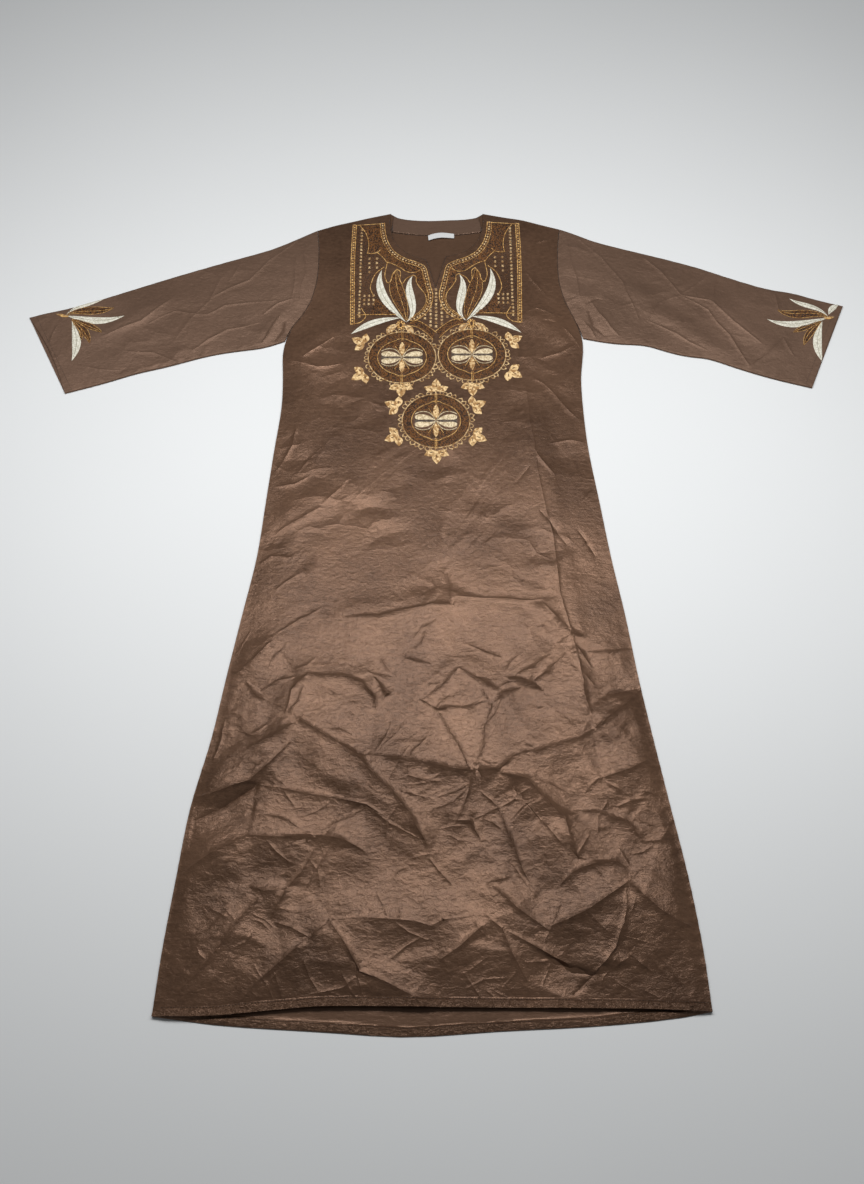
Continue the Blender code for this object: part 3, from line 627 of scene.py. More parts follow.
    Crease(1.4, 1.0, 1.4, ((15, 13), (18.5, 18.5))),
    Crease(1.2, 0.8, 1.2, ((17.5, 7), (20.3, 6))),
)


def refine_top(bm, from_down):
    """Halve the upper side's cells below a place, so that it can hold sharp creases, and even them."""
    limit = NECK_POINT_Y - from_down * CM
    faces = [face for face in bm.faces if face.normal.z > 0.5 and face.calc_center_median().y < limit]
    edges = list(dict.fromkeys(edge for face in faces for edge in face.edges))
    bmesh.ops.subdivide_edges(bm, edges=edges, cuts=1, use_grid_fill=True)
    inner = [vertex for vertex in bm.verts if all(face.normal.z > 0.5 for face in vertex.link_faces)]
    for _ in range(EVENING_PASSES):
        bmesh.ops.smooth_vert(bm, verts=inner, factor=0.5, use_axis_z=True)


def small_creases(count, low, high, seed):
    """Short creases at odd places and angles, thicker on the ground lower down."""
    chance = np.random.default_rng(seed)
    made = []
    for _ in range(count):
        start = np.array((chance.uniform(low[0], high[0]),
                          high[1] - (high[1] - low[1]) * chance.random() ** 1.6))
        turn = chance.choice((-1, 1)) * chance.uniform(0.2, 1.3)
        run = chance.uniform(2.0, 6.5) * np.array((math.cos(turn), math.sin(turn)))
        bend = start + 0.5 * run + chance.uniform(-0.14, 0.14) * np.array((-run[1], run[0]))
        rise, left, right = chance.uniform(0.5, 1.2), chance.uniform(0.7, 1.2), chance.uniform(0.7, 1.2)
        made.append(Crease(rise, left, right, (tuple(start), tuple(bend), tuple(start + run))))
    return made


def cut_along(bm, creases):
    """Cut the upper side along each crease, so that an edge of the mesh stands as its crest."""
    cells = {}

    def keep(face):
        centre = face.calc_center_median()
        cells.setdefault((int(centre.x // CUT_CELL), int(centre.y // CUT_CELL)), []).append(face)

    for face in bm.faces:
        if face.normal.z > 0.5:
            keep(face)
    for crease in creases:
        line = [Vector((x * CM, NECK_POINT_Y - y * CM, 0.0)) for x, y in hand_line(crease)]
        for start, end in zip(line, line[1:]):
            along = (end - start).normalized()
            aside = Vector((-along.y, along.x, 0.0))
            lows = [int((min(a, b) - CUT_REACH) // CUT_CELL) for a, b in zip(start.xy, end.xy)]
            highs = [int((max(a, b) + CUT_REACH) // CUT_CELL) for a, b in zip(start.xy, end.xy)]
            faces = []
            for column in range(lows[0], highs[0] + 1):
                for row in range(lows[1], highs[1] + 1):
                    for face in cells.get((column, row), ()):
                        offset = face.calc_center_median() - start
                        within_ends = -0.001 < offset.dot(along) < (end - start).length + 0.001
                        if within_ends and abs(offset.dot(aside)) < CUT_REACH:
                            faces.append(face)
            for vertex in dict.fromkeys(vertex for face in faces for vertex in face.verts):
                off = (vertex.co - start).dot(aside)
                if abs(off) < CUT_SNAP:
                    vertex.co -= off * aside
            for edge in dict.fromkeys(edge for face in faces for edge in face.edges):
                first, last = edge.verts
                here, there = (first.co - start).dot(aside), (last.co - start).dot(aside)
                if here * there < 0.0 and min(abs(here), abs(there)) > WELD:
                    bmesh.utils.edge_split(edge, first, here / (here - there))
            for face in faces:
                on_line = [vertex for vertex in face.verts if abs((vertex.co - start).dot(aside)) < WELD]
                if len(on_line) != 2:
                    continue
                if bm.edges.get(on_line) is None:
                    keep(bmesh.utils.face_split(face, *on_line)[0])
                bm.edges.get(on_line).smooth = False


def facet_lift(across, down, creases, border):
    """Height of the flat facets that span between creases, in millimetres."""
    places, heights = [Vector(place) for place in border], [0.0] * len(border)
    for crease in creases:
        line = hand_line(crease)
        for index, place in enumerate(line):
            places.append(Vector(place))
            heights.append(crease.rise * (1.0 if 0 < index < len(line) - 1 else 0.5))
    corners, _, faces, sources, _, _ = geometry.delaunay_2d_cdt(places, [], [], 0, 0.4)
    tops = np.array([max((heights[index] for index in source), key=abs) for source in sources])
    lift = np.zeros(len(across))
    spots = np.stack([across, down], axis=1)
    for face in faces:
        first, second, third = (np.array(corners[index]) for index in face)
        sides = np.array((second - first, third - first)).T
        if abs(np.linalg.det(sides)) < 1e-6:
            continue
        shares = (spots - first) @ np.linalg.inv(sides).T
        inside = (shares.min(1) >= 0.0) & (shares.sum(1) <= 1.0)
        base, *others = tops[list(face)]
        lift[inside] = base + shares[inside] @ (np.array(others) - base)
    return lift


def finer_cloth(node_name, name, levels, sharp_places=(), dense_from=(), creases=()):
    """Copy of a cloth solid with its facets smoothed, and the places of its rims and folds."""
    bm = solid_copy(node_name)
    bmesh.ops.join_triangles(bm, faces=bm.faces, angle_face_threshold=math.radians(40.0),
                             angle_shape_threshold=math.radians(60.0))
    edge_crease = bm.edges.layers.float.new("crease_edge")
    corner_crease = bm.verts.layers.float.new("crease_vert")
    for edge in bm.edges:
        edge[edge_crease] = 1.0 if edge.calc_face_angle(0.0) > SHARP_EDGE else 0.0
    for across, down in sharp_places:
        place = Vector((across * CM, NECK_POINT_Y - down * CM))
        nearest = min((vertex.co.xy - place).length for vertex in bm.verts)
        for vertex in bm.verts:
            if (vertex.co.xy - place).length < nearest + WELD:
                vertex[corner_crease] = 1.0
    rims = [vertex.co.copy() for vertex in bm.verts if any(edge[edge_crease] for edge in vertex.link_edges)]
    rough = put_in_scene(name + "_rough", bm, None)
    finer = rough.modifiers.new("finer", "SUBSURF")
    finer.levels = finer.render_levels = levels
    evaluated = rough.evaluated_get(bpy.context.evaluated_depsgraph_get())
    mesh = bpy.data.meshes.new_from_object(evaluated)
    bpy.data.objects.remove(rough, do_unlink=True)
    bm = bmesh.new()
    bm.from_mesh(mesh)
    for start in dense_from:
        refine_top(bm, start)
    for edge in bm.edges:
        edge.smooth = edge.calc_face_angle(0.0) < FOLD_ANGLE
    cut_along(bm, creases)
    bmesh.ops.triangulate(bm, faces=[face for face in bm.faces if len(face.verts) > 4])
    bm.to_mesh(mesh)
    bm.free()
    mesh.materials.clear()
    mesh.shade_smooth()
    piece = bpy.data.objects.new(name, mesh)
    bpy.context.scene.collection.objects.link(piece)
    return piece, rims


def crumples(across, down, layers):
    """Height of crumples of several sizes, in millimetres."""
    return sum(rise * crumple(across, down, fold_size, layer) for rise, fold_size, layer in layers)


def fade_from(points, rims, reach):
    """Share of a crease's height that a place keeps near the seams that hold the cloth."""
    tree = KDTree(len(rims))
    for index, rim in enumerate(rims):
        tree.insert((rim.x, rim.y, 0.0), index)
    tree.balance()
    away = np.array([tree.find((x, y, 0.0))[2] for x, y, _ in points])
    return smooth(away / (reach * CM))


def top_side(mesh):
    """True for each vertex whose cloth faces up."""
    normals = np.empty(len(mesh.vertices) * 3)
    mesh.vertices.foreach_get("normal", normals)
    return normals.reshape(-1, 3)[:, 2] > 0.0


front_creases = FRONT_CREASES + tuple(small_creases(SMALL_CREASES, (-33.0, 84.0), (33.0, 135.0), 17))
front_cloth, front_rims = finer_cloth("front_panel", "front_cloth", SMOOTHING_LEVELS, SLIT_POINTS,
                                      (0.0, CREASED_FROM), front_creases)
front_cloth.data.materials.append(satin("front_satin", FRONT_BROWN))
across, down, points = vertex_places(front_cloth.data)
upward = top_side(front_cloth.data)
from_hem = hem_place(FRONT_HEM, across) - down
held = [rim for rim in front_rims
        if abs(rim.x) > SIDES_FROM_X or (rim.y > SHOULDERS_FROM_Y and abs(rim.x) > SHOULDERS_FROM_X)]
held = [rim for rim in held if NECK_POINT_Y - rim.y < (hem_place(FRONT_HEM, rim.x / CM) - 1.0) * CM]
keeps = fade_from(points, held, SEAM_FADE)
in_skirt = 0.12 + 0.88 * smooth((down - 72.0) / 34.0)
lift = CREST_SHARE * crease_lift(across, down, front_creases)
facets = facet_lift(across, down, FRONT_CREASES, FRONT_BORDER)
lift += FACET_SHARE * facets * smooth((down - 62.0) / 16.0)
lift += in_skirt * crumples(across, down, SKIRT_CRUMPLES)
lift += crumples(across, down, FINE_CRUMPLES)
base = points[:, 2] / MM - FLAT_TOP_MM
lift -= np.where(base > 0, base * (1.0 - RELIEF_KEPT), 0.0)
in_hem = smooth((FRONT_HEM_DEPTH + 0.2 - from_hem) / 0.4)
lift += in_hem * (2.5 * (1.0 - from_hem / FRONT_HEM_DEPTH)
                  + 1.3 * crumple(across, down, HEM_PUCKER_SIZE, 6.6))
lift -= 0.5 * smooth(1.0 - abs(from_hem - FRONT_HEM_DEPTH) / 0.35)
in_waist = smooth((down - 34.0) / 10.0) * (1.0 - smooth((down - 66.0) / 12.0))
set_crinkle(front_cloth.data, 0.35 + 0.15 * smooth((down - 48.0) / 30.0)
            + 0.20 * smooth((down - 90.0) / 20.0) + 3.0 * in_hem, 0.55 + 0.35 * in_waist)
lift += 0.8 * smooth(1.0 - from_hem / 5.0) * (0.5 + 0.5 * np.sin(across * 0.37 + 1.2))
lowest = np.where(upward, BACK_TOP_MM + 1.2, BACK_TOP_MM)
points[:, 2] = np.maximum(points[:, 2] / MM + lift * keeps, np.minimum(lowest, points[:, 2] / MM)) * MM
set_heights(front_cloth.data, points)
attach(front_cloth, "root")
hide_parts("front_panel")

# Sleeves
# Each is one straight piece of satin, set into the armhole and closed along the underarm. They
# lie flattened, with the fold on top towards the neck and the seam towards the hem.
# The sleeves are the same satin as the front. Their lighter browns are painted light, for the light that
# falls more on the sleeves.
SLEEVE_BROWN_PAINTED_LIGHTER = ((0.168, 0.100, 0.066), (0.220, 0.132, 0.089))
SLEEVE_LEVELS = 3
SLEEVE_SEAM_FADE = 0.9
SLEEVE_CREST_SHARE = 0.65
SLEEVE_FACET_SHARE = 0.45
SLEEVE_GLOSS = (0.40, 0.50)
SLEEVE_LOW_MM = 1.3
SLEEVE_CRUMPLES = (Crumples(0.5, 6.0, 5.5), Crumples(0.25, 2.6, 1.9))
CUFF_RIM_FROM_X = 0.66
GRAIN = {"left": math.radians(20.0), "right": math.radians(-18.0)}
SLEEVE_CREASES = {
    "left": (
        Crease(1.4, 0.8, 1.1, ((-23.2, 7), (-22.8, 14), (-23.6, 20))),
        Crease(1.0, 0.7, 0.8, ((-24.4, 9), (-24.6, 16), (-25.2, 21))),
        Crease(1.8, 1.2, 1.6, ((-39.1, 19.6), (-32.4, 15.4), (-24.7, 6.4))),
        Crease(1.0, 0.8, 1.0, ((-36, 15.6), (-34.3, 11.6))),
        Crease(2.2, 1.6, 2.4, ((-56.1, 27.6), (-50.2, 24.4), (-45.5, 19.6))),
        Crease(1.4, 1.0, 1.4, ((-49, 25), (-44.5, 22.2), (-39, 23), (-36.2, 21), (-27.5, 20))),
        Crease(2.0, 0.8, 1.2, ((-29.6, 23), (-27.2, 20.6), (-24.8, 19.6))),
        Crease(3.0, 0.7, 1.0, ((-29.4, 28.9), (-27.9, 25.6), (-26.7, 23.2))),
        Crease(-2.4, 0.6, 0.6, ((-27.4, 28.4), (-26.1, 26.4), (-25.9, 24.4))),
        Crease(1.6, 1.0, 1.4, ((-41, 30.5), (-35.5, 26.2), (-30, 24.6))),
        Crease(1.2, 1.0, 1.2, ((-52.8, 30.6), (-47.5, 31), (-43.3, 33))),
        Crease(1.0, 0.8, 1.0, ((-59, 33.8), (-52.7, 34.6))),
        Crease(1.2, 1.2, 1.6, ((-64.5, 25.5), (-65.2, 29.7), (-64, 33))),
        Crease(1.0, 1.2, 1.6, ((-44, 28), (-39, 20), (-37, 14))),
    ),
    "right": (
        Crease(1.4, 0.8, 1.1, ((22.8, 6), (23.4, 12), (24.4, 19))),
        Crease(-1.6, 0.6, 0.6, ((25.6, 20.6), (27.4, 19.6), (28.4, 19.8))),
        Crease(2.6, 0.7, 1.0, ((26.4, 20.6), (27.6, 23), (29.5, 26), (30.6, 27.4))),
        Crease(-1.8, 0.7, 0.7, ((25.6, 22), (26.4, 25.4), (28.2, 27.4))),
        Crease(2.2, 0.7, 0.8, ((24.9, 24.4), (26, 26.2), (26.6, 27.6))),
        Crease(1.6, 1.0, 1.6, ((25, 6), (32.1, 16.1), (33.2, 20.2), (34.2, 24))),
        Crease(2.2, 1.2, 1.8, ((35.9, 10.1), (41.8, 18.6))),
        Crease(1.4, 1.0, 1.2, ((41.8, 18.6), (47.4, 13.8))),
        Crease(2.2, 1.0, 1.4, ((41.8, 18.7), (46.9, 20.1), (54.6, 29.4))),
        Crease(2.0, 1.0, 1.4, ((41.8, 18.9), (46.2, 22.1), (49.3, 27.4), (52, 33.8))),
        Crease(1.4, 1.0, 1.2, ((41.8, 18.8), (37.7, 20.8), (35.7, 24.3))),
        Crease(1.4, 1.0, 1.2, ((35.7, 24.3), (40.5, 27.2), (45.1, 30.4))),
        Crease(1.8, 1.0, 1.4, ((52, 33.8), (58.3, 28))),
        Crease(1.2, 0.8, 1.0, ((58.3, 28), (59.6, 31.8))),
        Crease(1.0, 0.8, 1.0, ((46.9, 20.1), (48, 15.6))),
        Crease(1.2, 1.0, 1.2, ((58, 18), (58.2, 22))),
    ),
}

sleeves = {}
for side in ("left", "right"):
    sleeve, sleeve_rims = finer_cloth("sleeve_" + side, "sleeve_" + side + "_cloth", SLEEVE_LEVELS,
                                      creases=SLEEVE_CREASES[side])
    sleeves[side] = sleeve
    sleeve.data.materials.append(satin("sleeve_satin_" + side, SLEEVE_BROWN_PAINTED_LIGHTER, GRAIN[side], SLEEVE_GLOSS))
    across, down, points = vertex_places(sleeve.data)
    set_crinkle(sleeve.data, 0.6, 0.8)
    outline = [rim for rim in sleeve_rims if abs(rim.x) < CUFF_RIM_FROM_X]
    border = [(rim.x / CM, (NECK_POINT_Y - rim.y) / CM) for rim in outline[::10]]
    lift = SLEEVE_CREST_SHARE * crease_lift(across, down, SLEEVE_CREASES[side])
    lift += SLEEVE_FACET_SHARE * facet_lift(across, down, SLEEVE_CREASES[side], border)
    lift += crumples(across, down, SLEEVE_CRUMPLES)
    upper = smooth((points[:, 2] / MM - SLEEVE_LOW_MM) / 0.7)
    points[:, 2] += lift * upper * fade_from(points, outline, SLEEVE_SEAM_FADE) * MM
    set_heights(sleeve.data, points)
    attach(sleeve, "root")
    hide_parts("sleeve_" + side)

# Neck embroidery
# Machine embroidery in gold, rust and ivory thread, worked on the front before it was sewn up:
# braided borders, grounds filled with seed stitches, rows of dots and a leaf spray each side.
MIDDLE = -0.2
RIGHT_LIES_HIGHER = 0.35
SHIFT_DOWN = 0.35
LEAF_PULL = 1.15
GOLD = ((0.38, 0.18, 0.040), (0.88, 0.54, 0.19))
PALE_GOLD = ((0.36, 0.19, 0.065), (0.84, 0.60, 0.31))
RUST = ((0.026, 0.010, 0.003), (0.175, 0.068, 0.014))
IVORY = ((0.60, 0.57, 0.46), (0.84, 0.81, 0.70))
CREAM = ((0.48, 0.36, 0.21), (0.84, 0.70, 0.47))
VEIN = ((0.22, 0.20, 0.15), (0.40, 0.37, 0.29))
TWIST_SCALE = 900.0
TWIST_DEPTH = 0.00006
SIDES = (-1, 1)

NECK_BORDER = ((9.5, 2.2), (9.25, 5.0), (8.5, 7.5), (7.35, 9.35), (5.45, 10.8), (3.4, 11.7), (2.35, 12.4),
               (1.8, 14.3), (1.3, 16.8), (0.95, 18.5), (1.2, 20.5), (1.9, 22.0), (3.1, 23.2), (4.5, 24.05))
SIDE_BORDER = ((14.4, 2.4), (14.5, 10.0), (14.2, 24.7))
GOLD_LINES = (
    ((9.3, 2.3), (11.5, 2.3), (14.3, 2.5)),
    ((13.4, 2.7), (12.5, 4.2), (11.9, 6.2), (11.8, 7.6), (12.0, 9.1)),
    ((12.0, 9.1), (11.2, 9.15), (10.3, 8.9), (9.7, 8.3)),
    ((10.3, 8.9), (9.3, 10.0), (8.6, 11.1)),
    ((8.6, 11.1), (7.4, 11.6), (6.2, 12.4), (4.9, 13.4), (3.3, 13.4), (2.8, 13.0)),
    ((8.5, 11.2), (8.7, 15.0), (8.3, 15.8), (7.8, 15.3), (7.6, 14.0), (6.8, 12.7)),
    ((6.8, 12.7), (6.4, 13.0), (6.1, 15.6), (5.8, 16.0)),
    ((5.8, 16.0), (5.1, 14.8), (4.0, 14.1)),
    ((4.0, 14.1), (3.6, 14.3), (3.4, 15.6), (2.7, 17.0), (1.9, 18.3), (1.7, 20.0), (2.4, 21.6),
     (3.8, 23.0)),
    ((9.1, 12.3), (10.3, 13.5), (11.1, 15.5), (11.3, 17.0), (10.8, 18.5)),
    ((13.4, 22.8), (10.2, 22.7), (6.9, 22.7)),
    ((14.3, 24.8), (12.9, 24.4), (12.0, 23.2), (12.7, 21.4)),
    ((4.4, 23.95), (3.0, 24.1), (1.4, 25.2), (0.0, 26.5)),
    ((4.9, 25.0), (3.4, 25.3), (1.9, 26.4), (0.6, 27.9)),
)
SHOULDER_GROUND = ((13.3, 2.6), (12.5, 4.2), (11.9, 6.2), (11.8, 7.6), (12.0, 9.0), (10.3, 8.9), (9.3, 10.0),
                   (8.6, 11.1), (7.4, 11.6), (6.2, 12.4), (4.9, 13.4), (3.5, 13.5), (3.6, 14.6), (3.4, 15.6),
                   (2.7, 17.0), (1.9, 18.3), (1.7, 20.0), (2.4, 21.6), (3.8, 23.1), (4.5, 24.0), (3.1, 23.2),
                   (1.9, 22.0), (1.15, 20.5), (0.8, 18.5), (1.1, 16.8), (1.6, 14.3), (2.1, 12.2), (3.2, 11.4),
                   (5.3, 10.5), (7.15, 9.1), (8.25, 7.4), (9.0, 5.0), (9.25, 2.4))
CHEVRON_GROUND = ((4.4, 23.95), (3.0, 24.1), (1.4, 25.2), (0.0, 26.5), (0.6, 27.9), (1.9, 26.4), (3.4, 25.3),
                  (4.9, 25.0))
LOW_GROUND = ((10.5, 18.6), (9.4, 19.9), (8.0, 21.5), (6.3, 22.8), (11.4, 22.8), (10.9, 21.0))
DOTTED_GROUND = ((14.4, 2.6), (13.4, 2.6), (12.5, 4.2), (11.9, 6.2), (11.8, 7.6), (12.0, 9.0), (10.3, 8.9),
                 (8.7, 11.1), (9.1, 12.3), (10.3, 13.5), (11.1, 15.5), (11.3, 17.0), (10.5, 18.6),
                 (10.9, 21.0), (11.4, 22.8), (12.0, 23.4), (12.9, 24.4), (14.2, 24.7))

Leaf = namedtuple("Leaf", "root leaving tip arriving width thread")
SPRAY = (
    Leaf((5.1, 24.3), 85, (6.8, 12.8), 103, 2.50, "rust"),
    Leaf((5.1, 24.3), 48, (9.4, 12.8), 106, 1.60, "ivory"),
    Leaf((5.1, 24.3), 137, (4.05, 14.2), 120, 1.50, "ivory"),
    Leaf((6.0, 23.4), -4, (14.4, 26.9), -40, 1.35, "ivory"),
    Leaf((6.3, 24.8), -15, (8.3, 26.9), -75, 1.30, "pale"),
    Leaf((5.7, 24.9), 195, (3.9, 26.9), 250, 1.20, "pale"),
)


def thread(name, shades, grain=330.0):
    """Lustrous thread whose shade changes from stitch to stitch, with a fine twist."""
    material, tree, shader = new_material(name)
    link = tree.links.new
    shader.inputs["Roughness"].default_value = 0.45
    shader.inputs["Sheen Weight"].default_value = 0.15
    shader.inputs["Specular IOR Level"].default_value = 0.4
    each = texture(tree, "Voronoi", {"Scale": grain}, object_place(tree, (1.0, 0.8, 0.2), 0.4))
    parts = node(tree, "SeparateColor")
    link(each.outputs["Color"], parts.inputs["Color"])
    spread = node(tree, "MapRange", {"From Min": 0.22, "From Max": 0.82})
    link(parts.outputs["Red"], spread.inputs["Value"])
    link(shade_range(tree, spread.outputs["Result"], *shades), shader.inputs["Base Color"])
    twist = texture(tree, "Wave", {"Scale": TWIST_SCALE, "Distortion": 1.5}, bands_direction="DIAGONAL")
    link(bump(tree, twist.outputs["Fac"], TWIST_DEPTH), shader.inputs["Normal"])
    return material


def sewn_at(side, table):
    """Places of a half pattern, out from the middle and down, as frame centimetres on one side."""
    out, down = np.array(table, float).T
    lower = SHIFT_DOWN - (RIGHT_LIES_HIGHER if side > 0 else 0.0)
    return np.stack([MIDDLE + side * out, -down - lower], axis=1)


def hermite(start, leaving, end, arriving, share):
    """Points of a curve that leaves one place and arrives at another along given runs."""
    share = np.reshape(share, (-1, 1))
    return (start * (1.0 + 2.0 * share) * (1.0 - share) ** 2 + leaving * share * (1.0 - share) ** 2
            + end * share ** 2 * (3.0 - 2.0 * share) + arriving * share ** 2 * (share - 1.0))


def evenly(points, step):
    """A line in even steps, with the heading at each."""
    reached = np.append(0.0, np.cumsum(np.hypot(*np.diff(points, axis=0).T)))
    stops = np.linspace(0.0, reached[-1], max(3, round(reached[-1] / step) + 1))
    even = np.stack([np.interp(stops, reached, column) for column in points.T], axis=1)
    run = np.gradient(even, axis=0)
    return even, np.arctan2(run[:, 1], run[:, 0])


def smooth_line(knots, step):
    """Even points along a smooth curve through given ones."""
    chord = np.append(0.0, np.cumsum(np.hypot(*np.diff(knots, axis=0).T)))
    slope = np.gradient(knots, chord, axis=0)
    fine = np.linspace(0.0, chord[-1], 14 * len(knots))
    span = np.clip(np.searchsorted(chord, fine, side="right") - 1, 0, len(chord) - 2)
    width = (chord[span + 1] - chord[span])[:, None]
    share = (fine - chord[span])[:, None] / width
    points = hermite(knots[span], slope[span] * width, knots[span + 1], slope[span + 1] * width, share)
    return evenly(points, step)


def beside(line, away):
    """The same line moved aside."""
    points, heading = line
    return points + away * np.stack([-np.sin(heading), np.cos(heading)], axis=1), heading


def row_along(line, length, width, tall=0.5, rise=0.0, sway=0.0):
    """Stitches along a line: place, heading, length and width in centimetres, height and lift in mm."""
    points, heading = line
    turned = heading + sway * np.where(np.arange(len(points)) % 2, 1.0, -1.0)
    sizes = np.tile((length, width, tall, rise), (len(points), 1))
    return np.column_stack([points, turned, sizes])


def dots(places):
    """Small raised dots, each two short stitches side by side under one across."""
    places = np.array(places, float).reshape(-1, 2)
    flat = np.zeros(len(places))
    return [row_along((places + (0.0, shift), flat), 0.60, 0.30, 0.5) for shift in (-0.13, 0.13)] + [
        row_along((places, flat + math.pi / 2), 0.52, 0.24, 0.8)]


def add_stitches(bm, rows):
    """Add raised stitches, each a copy of one small ball stretched along its thread."""
    rows = np.vstack(rows)
    ball = bmesh.new()
    bmesh.ops.create_icosphere(ball, subdivisions=1, radius=1.0)
    unit = np.array([vertex.co for vertex in ball.verts])
    corners = np.array([[vertex.index for vertex in face.verts] for face in ball.faces])
    ball.free()
    x, y, heading, length, width, tall, rise = (column[:, None] for column in rows.T)
    along, aside = unit[:, 0] * length / 2, unit[:, 1] * width / 2
    places = np.stack([x + np.cos(heading) * along - np.sin(heading) * aside,
                       y + np.sin(heading) * along + np.cos(heading) * aside,
                       (rise + unit[:, 2] * tall) * MM / CM], axis=2)
    first = len(unit) * np.arange(len(rows))[:, None, None]
    mesh = bpy.data.meshes.new("stitches")
    mesh.from_pydata(places.reshape(-1, 3), [], (corners + first).reshape(-1, 3))
    bm.from_mesh(mesh)
    bpy.data.meshes.remove(mesh)


def add_braid(knot_bm, edge_bm, ground_bm, line, width):
    """Braided border: a row of raised knots on a dark ground, with a thick row along each edge."""
    points, heading = line
    add_stitches(ground_bm, [row_along(line, 0.46, 0.80 * width, 0.35)])
    add_stitches(knot_bm, [row_along((points[::2], heading[::2]), 0.44, 0.46 * width, 1.0)])
    for side in (-1, 1):
        add_stitches(edge_bm, [row_along(beside(line, side * 0.40 * width), 0.38, 0.23, 0.7)])


def add_vein(bm, line):
    """Thin row of stitches along the groove of a leaf."""
    add_stitches(bm, [row_along(evenly(line[6:-6], 0.24), 0.30, 0.10, 0.3, 0.70)])


def leaf_line(leaf, side=0):
    """Middle line of a leaf from its root to its tip."""
    if side:
        root, tip = sewn_at(side, (leaf.root, leaf.tip))
    else:
        root, tip = (np.array((across, -down)) for across, down in (leaf.root, leaf.tip))
    pull = LEAF_PULL * math.dist(root, tip)
    runs = [pull * np.array(((side or 1) * math.cos(math.radians(turn)), math.sin(math.radians(turn))))
            for turn in (leaf.leaving, leaf.arriving)]
    return hermite(root, runs[0], tip, runs[1], np.linspace(0.0, 1.0, 60))


def leaf_shape(share, fullest, blunt):
    """Share of a leaf's width at a share of its length."""
    rising = np.sin(np.clip(share / fullest, 0.0, 1.0) * math.pi / 2)
    falling = np.sin(np.clip((1.0 - share) / (1.0 - fullest), 0.0, 1.0) * math.pi / 2)
    return np.where(share < fullest, rising, falling ** blunt)


def add_leaf(bm, line, width, fullest=0.55, blunt=1.0, tall=0.9, rib=0.11, groove=0.25):
    """Satin-stitched leaf: a low lens along a line, ribbed by threads that slant to a middle groove."""
    points, heading = evenly(line, rib / 3)
    steps = len(points) - 1
    verts = bmesh.ops.create_grid(bm, x_segments=steps, y_segments=8, size=1.0)["verts"]
    grid = np.array([vertex.co for vertex in verts])
    row = np.rint((grid[:, 0] + 1.0) / 2 * steps).astype(int)
    aside = grid[:, 1]
    half = width / 2 * leaf_shape(row / steps, fullest, blunt) * aside
    x = points[row, 0] - np.sin(heading[row]) * half
    y = points[row, 1] + np.cos(heading[row]) * half
    threads = np.sin(2.0 * math.pi * (row / 3 + 2.2 * abs(aside)))
    crown = tall * (1.0 - aside ** 2) ** 0.6 * leaf_shape(row / steps, fullest, blunt) ** 0.4
    height = crown + 0.10 * threads * (abs(aside) < 0.99) - groove * np.exp(-(aside / 0.2) ** 2)
    height = np.where(abs(aside) > 0.99, -0.25, height)
    for vertex, place in zip(verts, zip(x, y, height * MM / CM)):
        vertex.co = place


def within(outline):
    """Test for whether places lie inside an outline."""
    def test(points):
        inside = np.zeros(len(points), bool)
        for (x1, y1), (x2, y2) in zip(outline, np.roll(outline, -1, axis=0)):
            crosses = (y1 > points[:, 1]) != (y2 > points[:, 1])
            reach = x1 + (points[:, 1] - y1) * (x2 - x1) / (y2 - y1 if y2 != y1 else 1.0)
            inside ^= crosses & (points[:, 0] < reach)
        return inside
    return test


def add_ground(bm, low, high, test, cell=0.15, tall=0.30):
    """Rough filled ground: a bumpy skin over the cells that pass a test, its rim sunk in the cloth."""
    chance = np.random.default_rng(11)
    counts = [max(1, round((top - base) / cell)) for base, top in zip(low, high)]
    made = bmesh.new()
    bmesh.ops.create_grid(made, x_segments=counts[0], y_segments=counts[1], size=0.5)
    for vertex in made.verts:
        vertex.co.x = low[0] + (vertex.co.x + 0.5) * (high[0] - low[0])
        vertex.co.y = low[1] + (vertex.co.y + 0.5) * (high[1] - low[1])
    keeps = test(np.array([face.calc_center_median().xy for face in made.faces]))
    gone = [face for face, kept in zip(made.faces, keeps) if not kept]
    bmesh.ops.delete(made, geom=gone, context="FACES")
    rim = [vertex for vertex in made.verts if vertex.is_boundary]
    for _ in range(3):
        bmesh.ops.smooth_vert(made, verts=rim, factor=0.5, use_axis_x=True, use_axis_y=True)
    for vertex, share in zip(made.verts, chance.random(len(made.verts))):
        vertex.co.z = (-0.3 if vertex.is_boundary else tall * (0.4 + 1.2 * share)) * MM / CM
    mesh = bpy.data.meshes.new("ground")
    made.to_mesh(mesh)
    made.free()
    bm.from_mesh(mesh)
    bpy.data.meshes.remove(mesh)


def seeds(low, high, test, pitch=0.27, rise=0.35):
    """Seed stitches scattered over the places that pass a test, each turned its own way."""
    chance = np.random.default_rng(5)
    columns, rows = np.meshgrid(np.arange(low[0], high[0], pitch), np.arange(low[1], high[1], pitch))
    places = np.column_stack([columns.ravel(), rows.ravel()])
    places = places + chance.uniform(-0.42 * pitch, 0.42 * pitch, places.shape)
    places = places[test(places)]
    return row_along((places, chance.uniform(0.0, math.pi, len(places))), 0.27, 0.13, 0.45, rise)


def fill(bm, outline, solid=True, pitch=0.27):
    """Fill an outline with seed stitches, over a ground where it is worked solid."""
    low, high = outline.min(0), outline.max(0)
    if solid:
        add_ground(bm, low, high, within(outline))
    add_stitches(bm, [seeds(low, high, within(outline), pitch, 0.35 if solid else 0.1)])


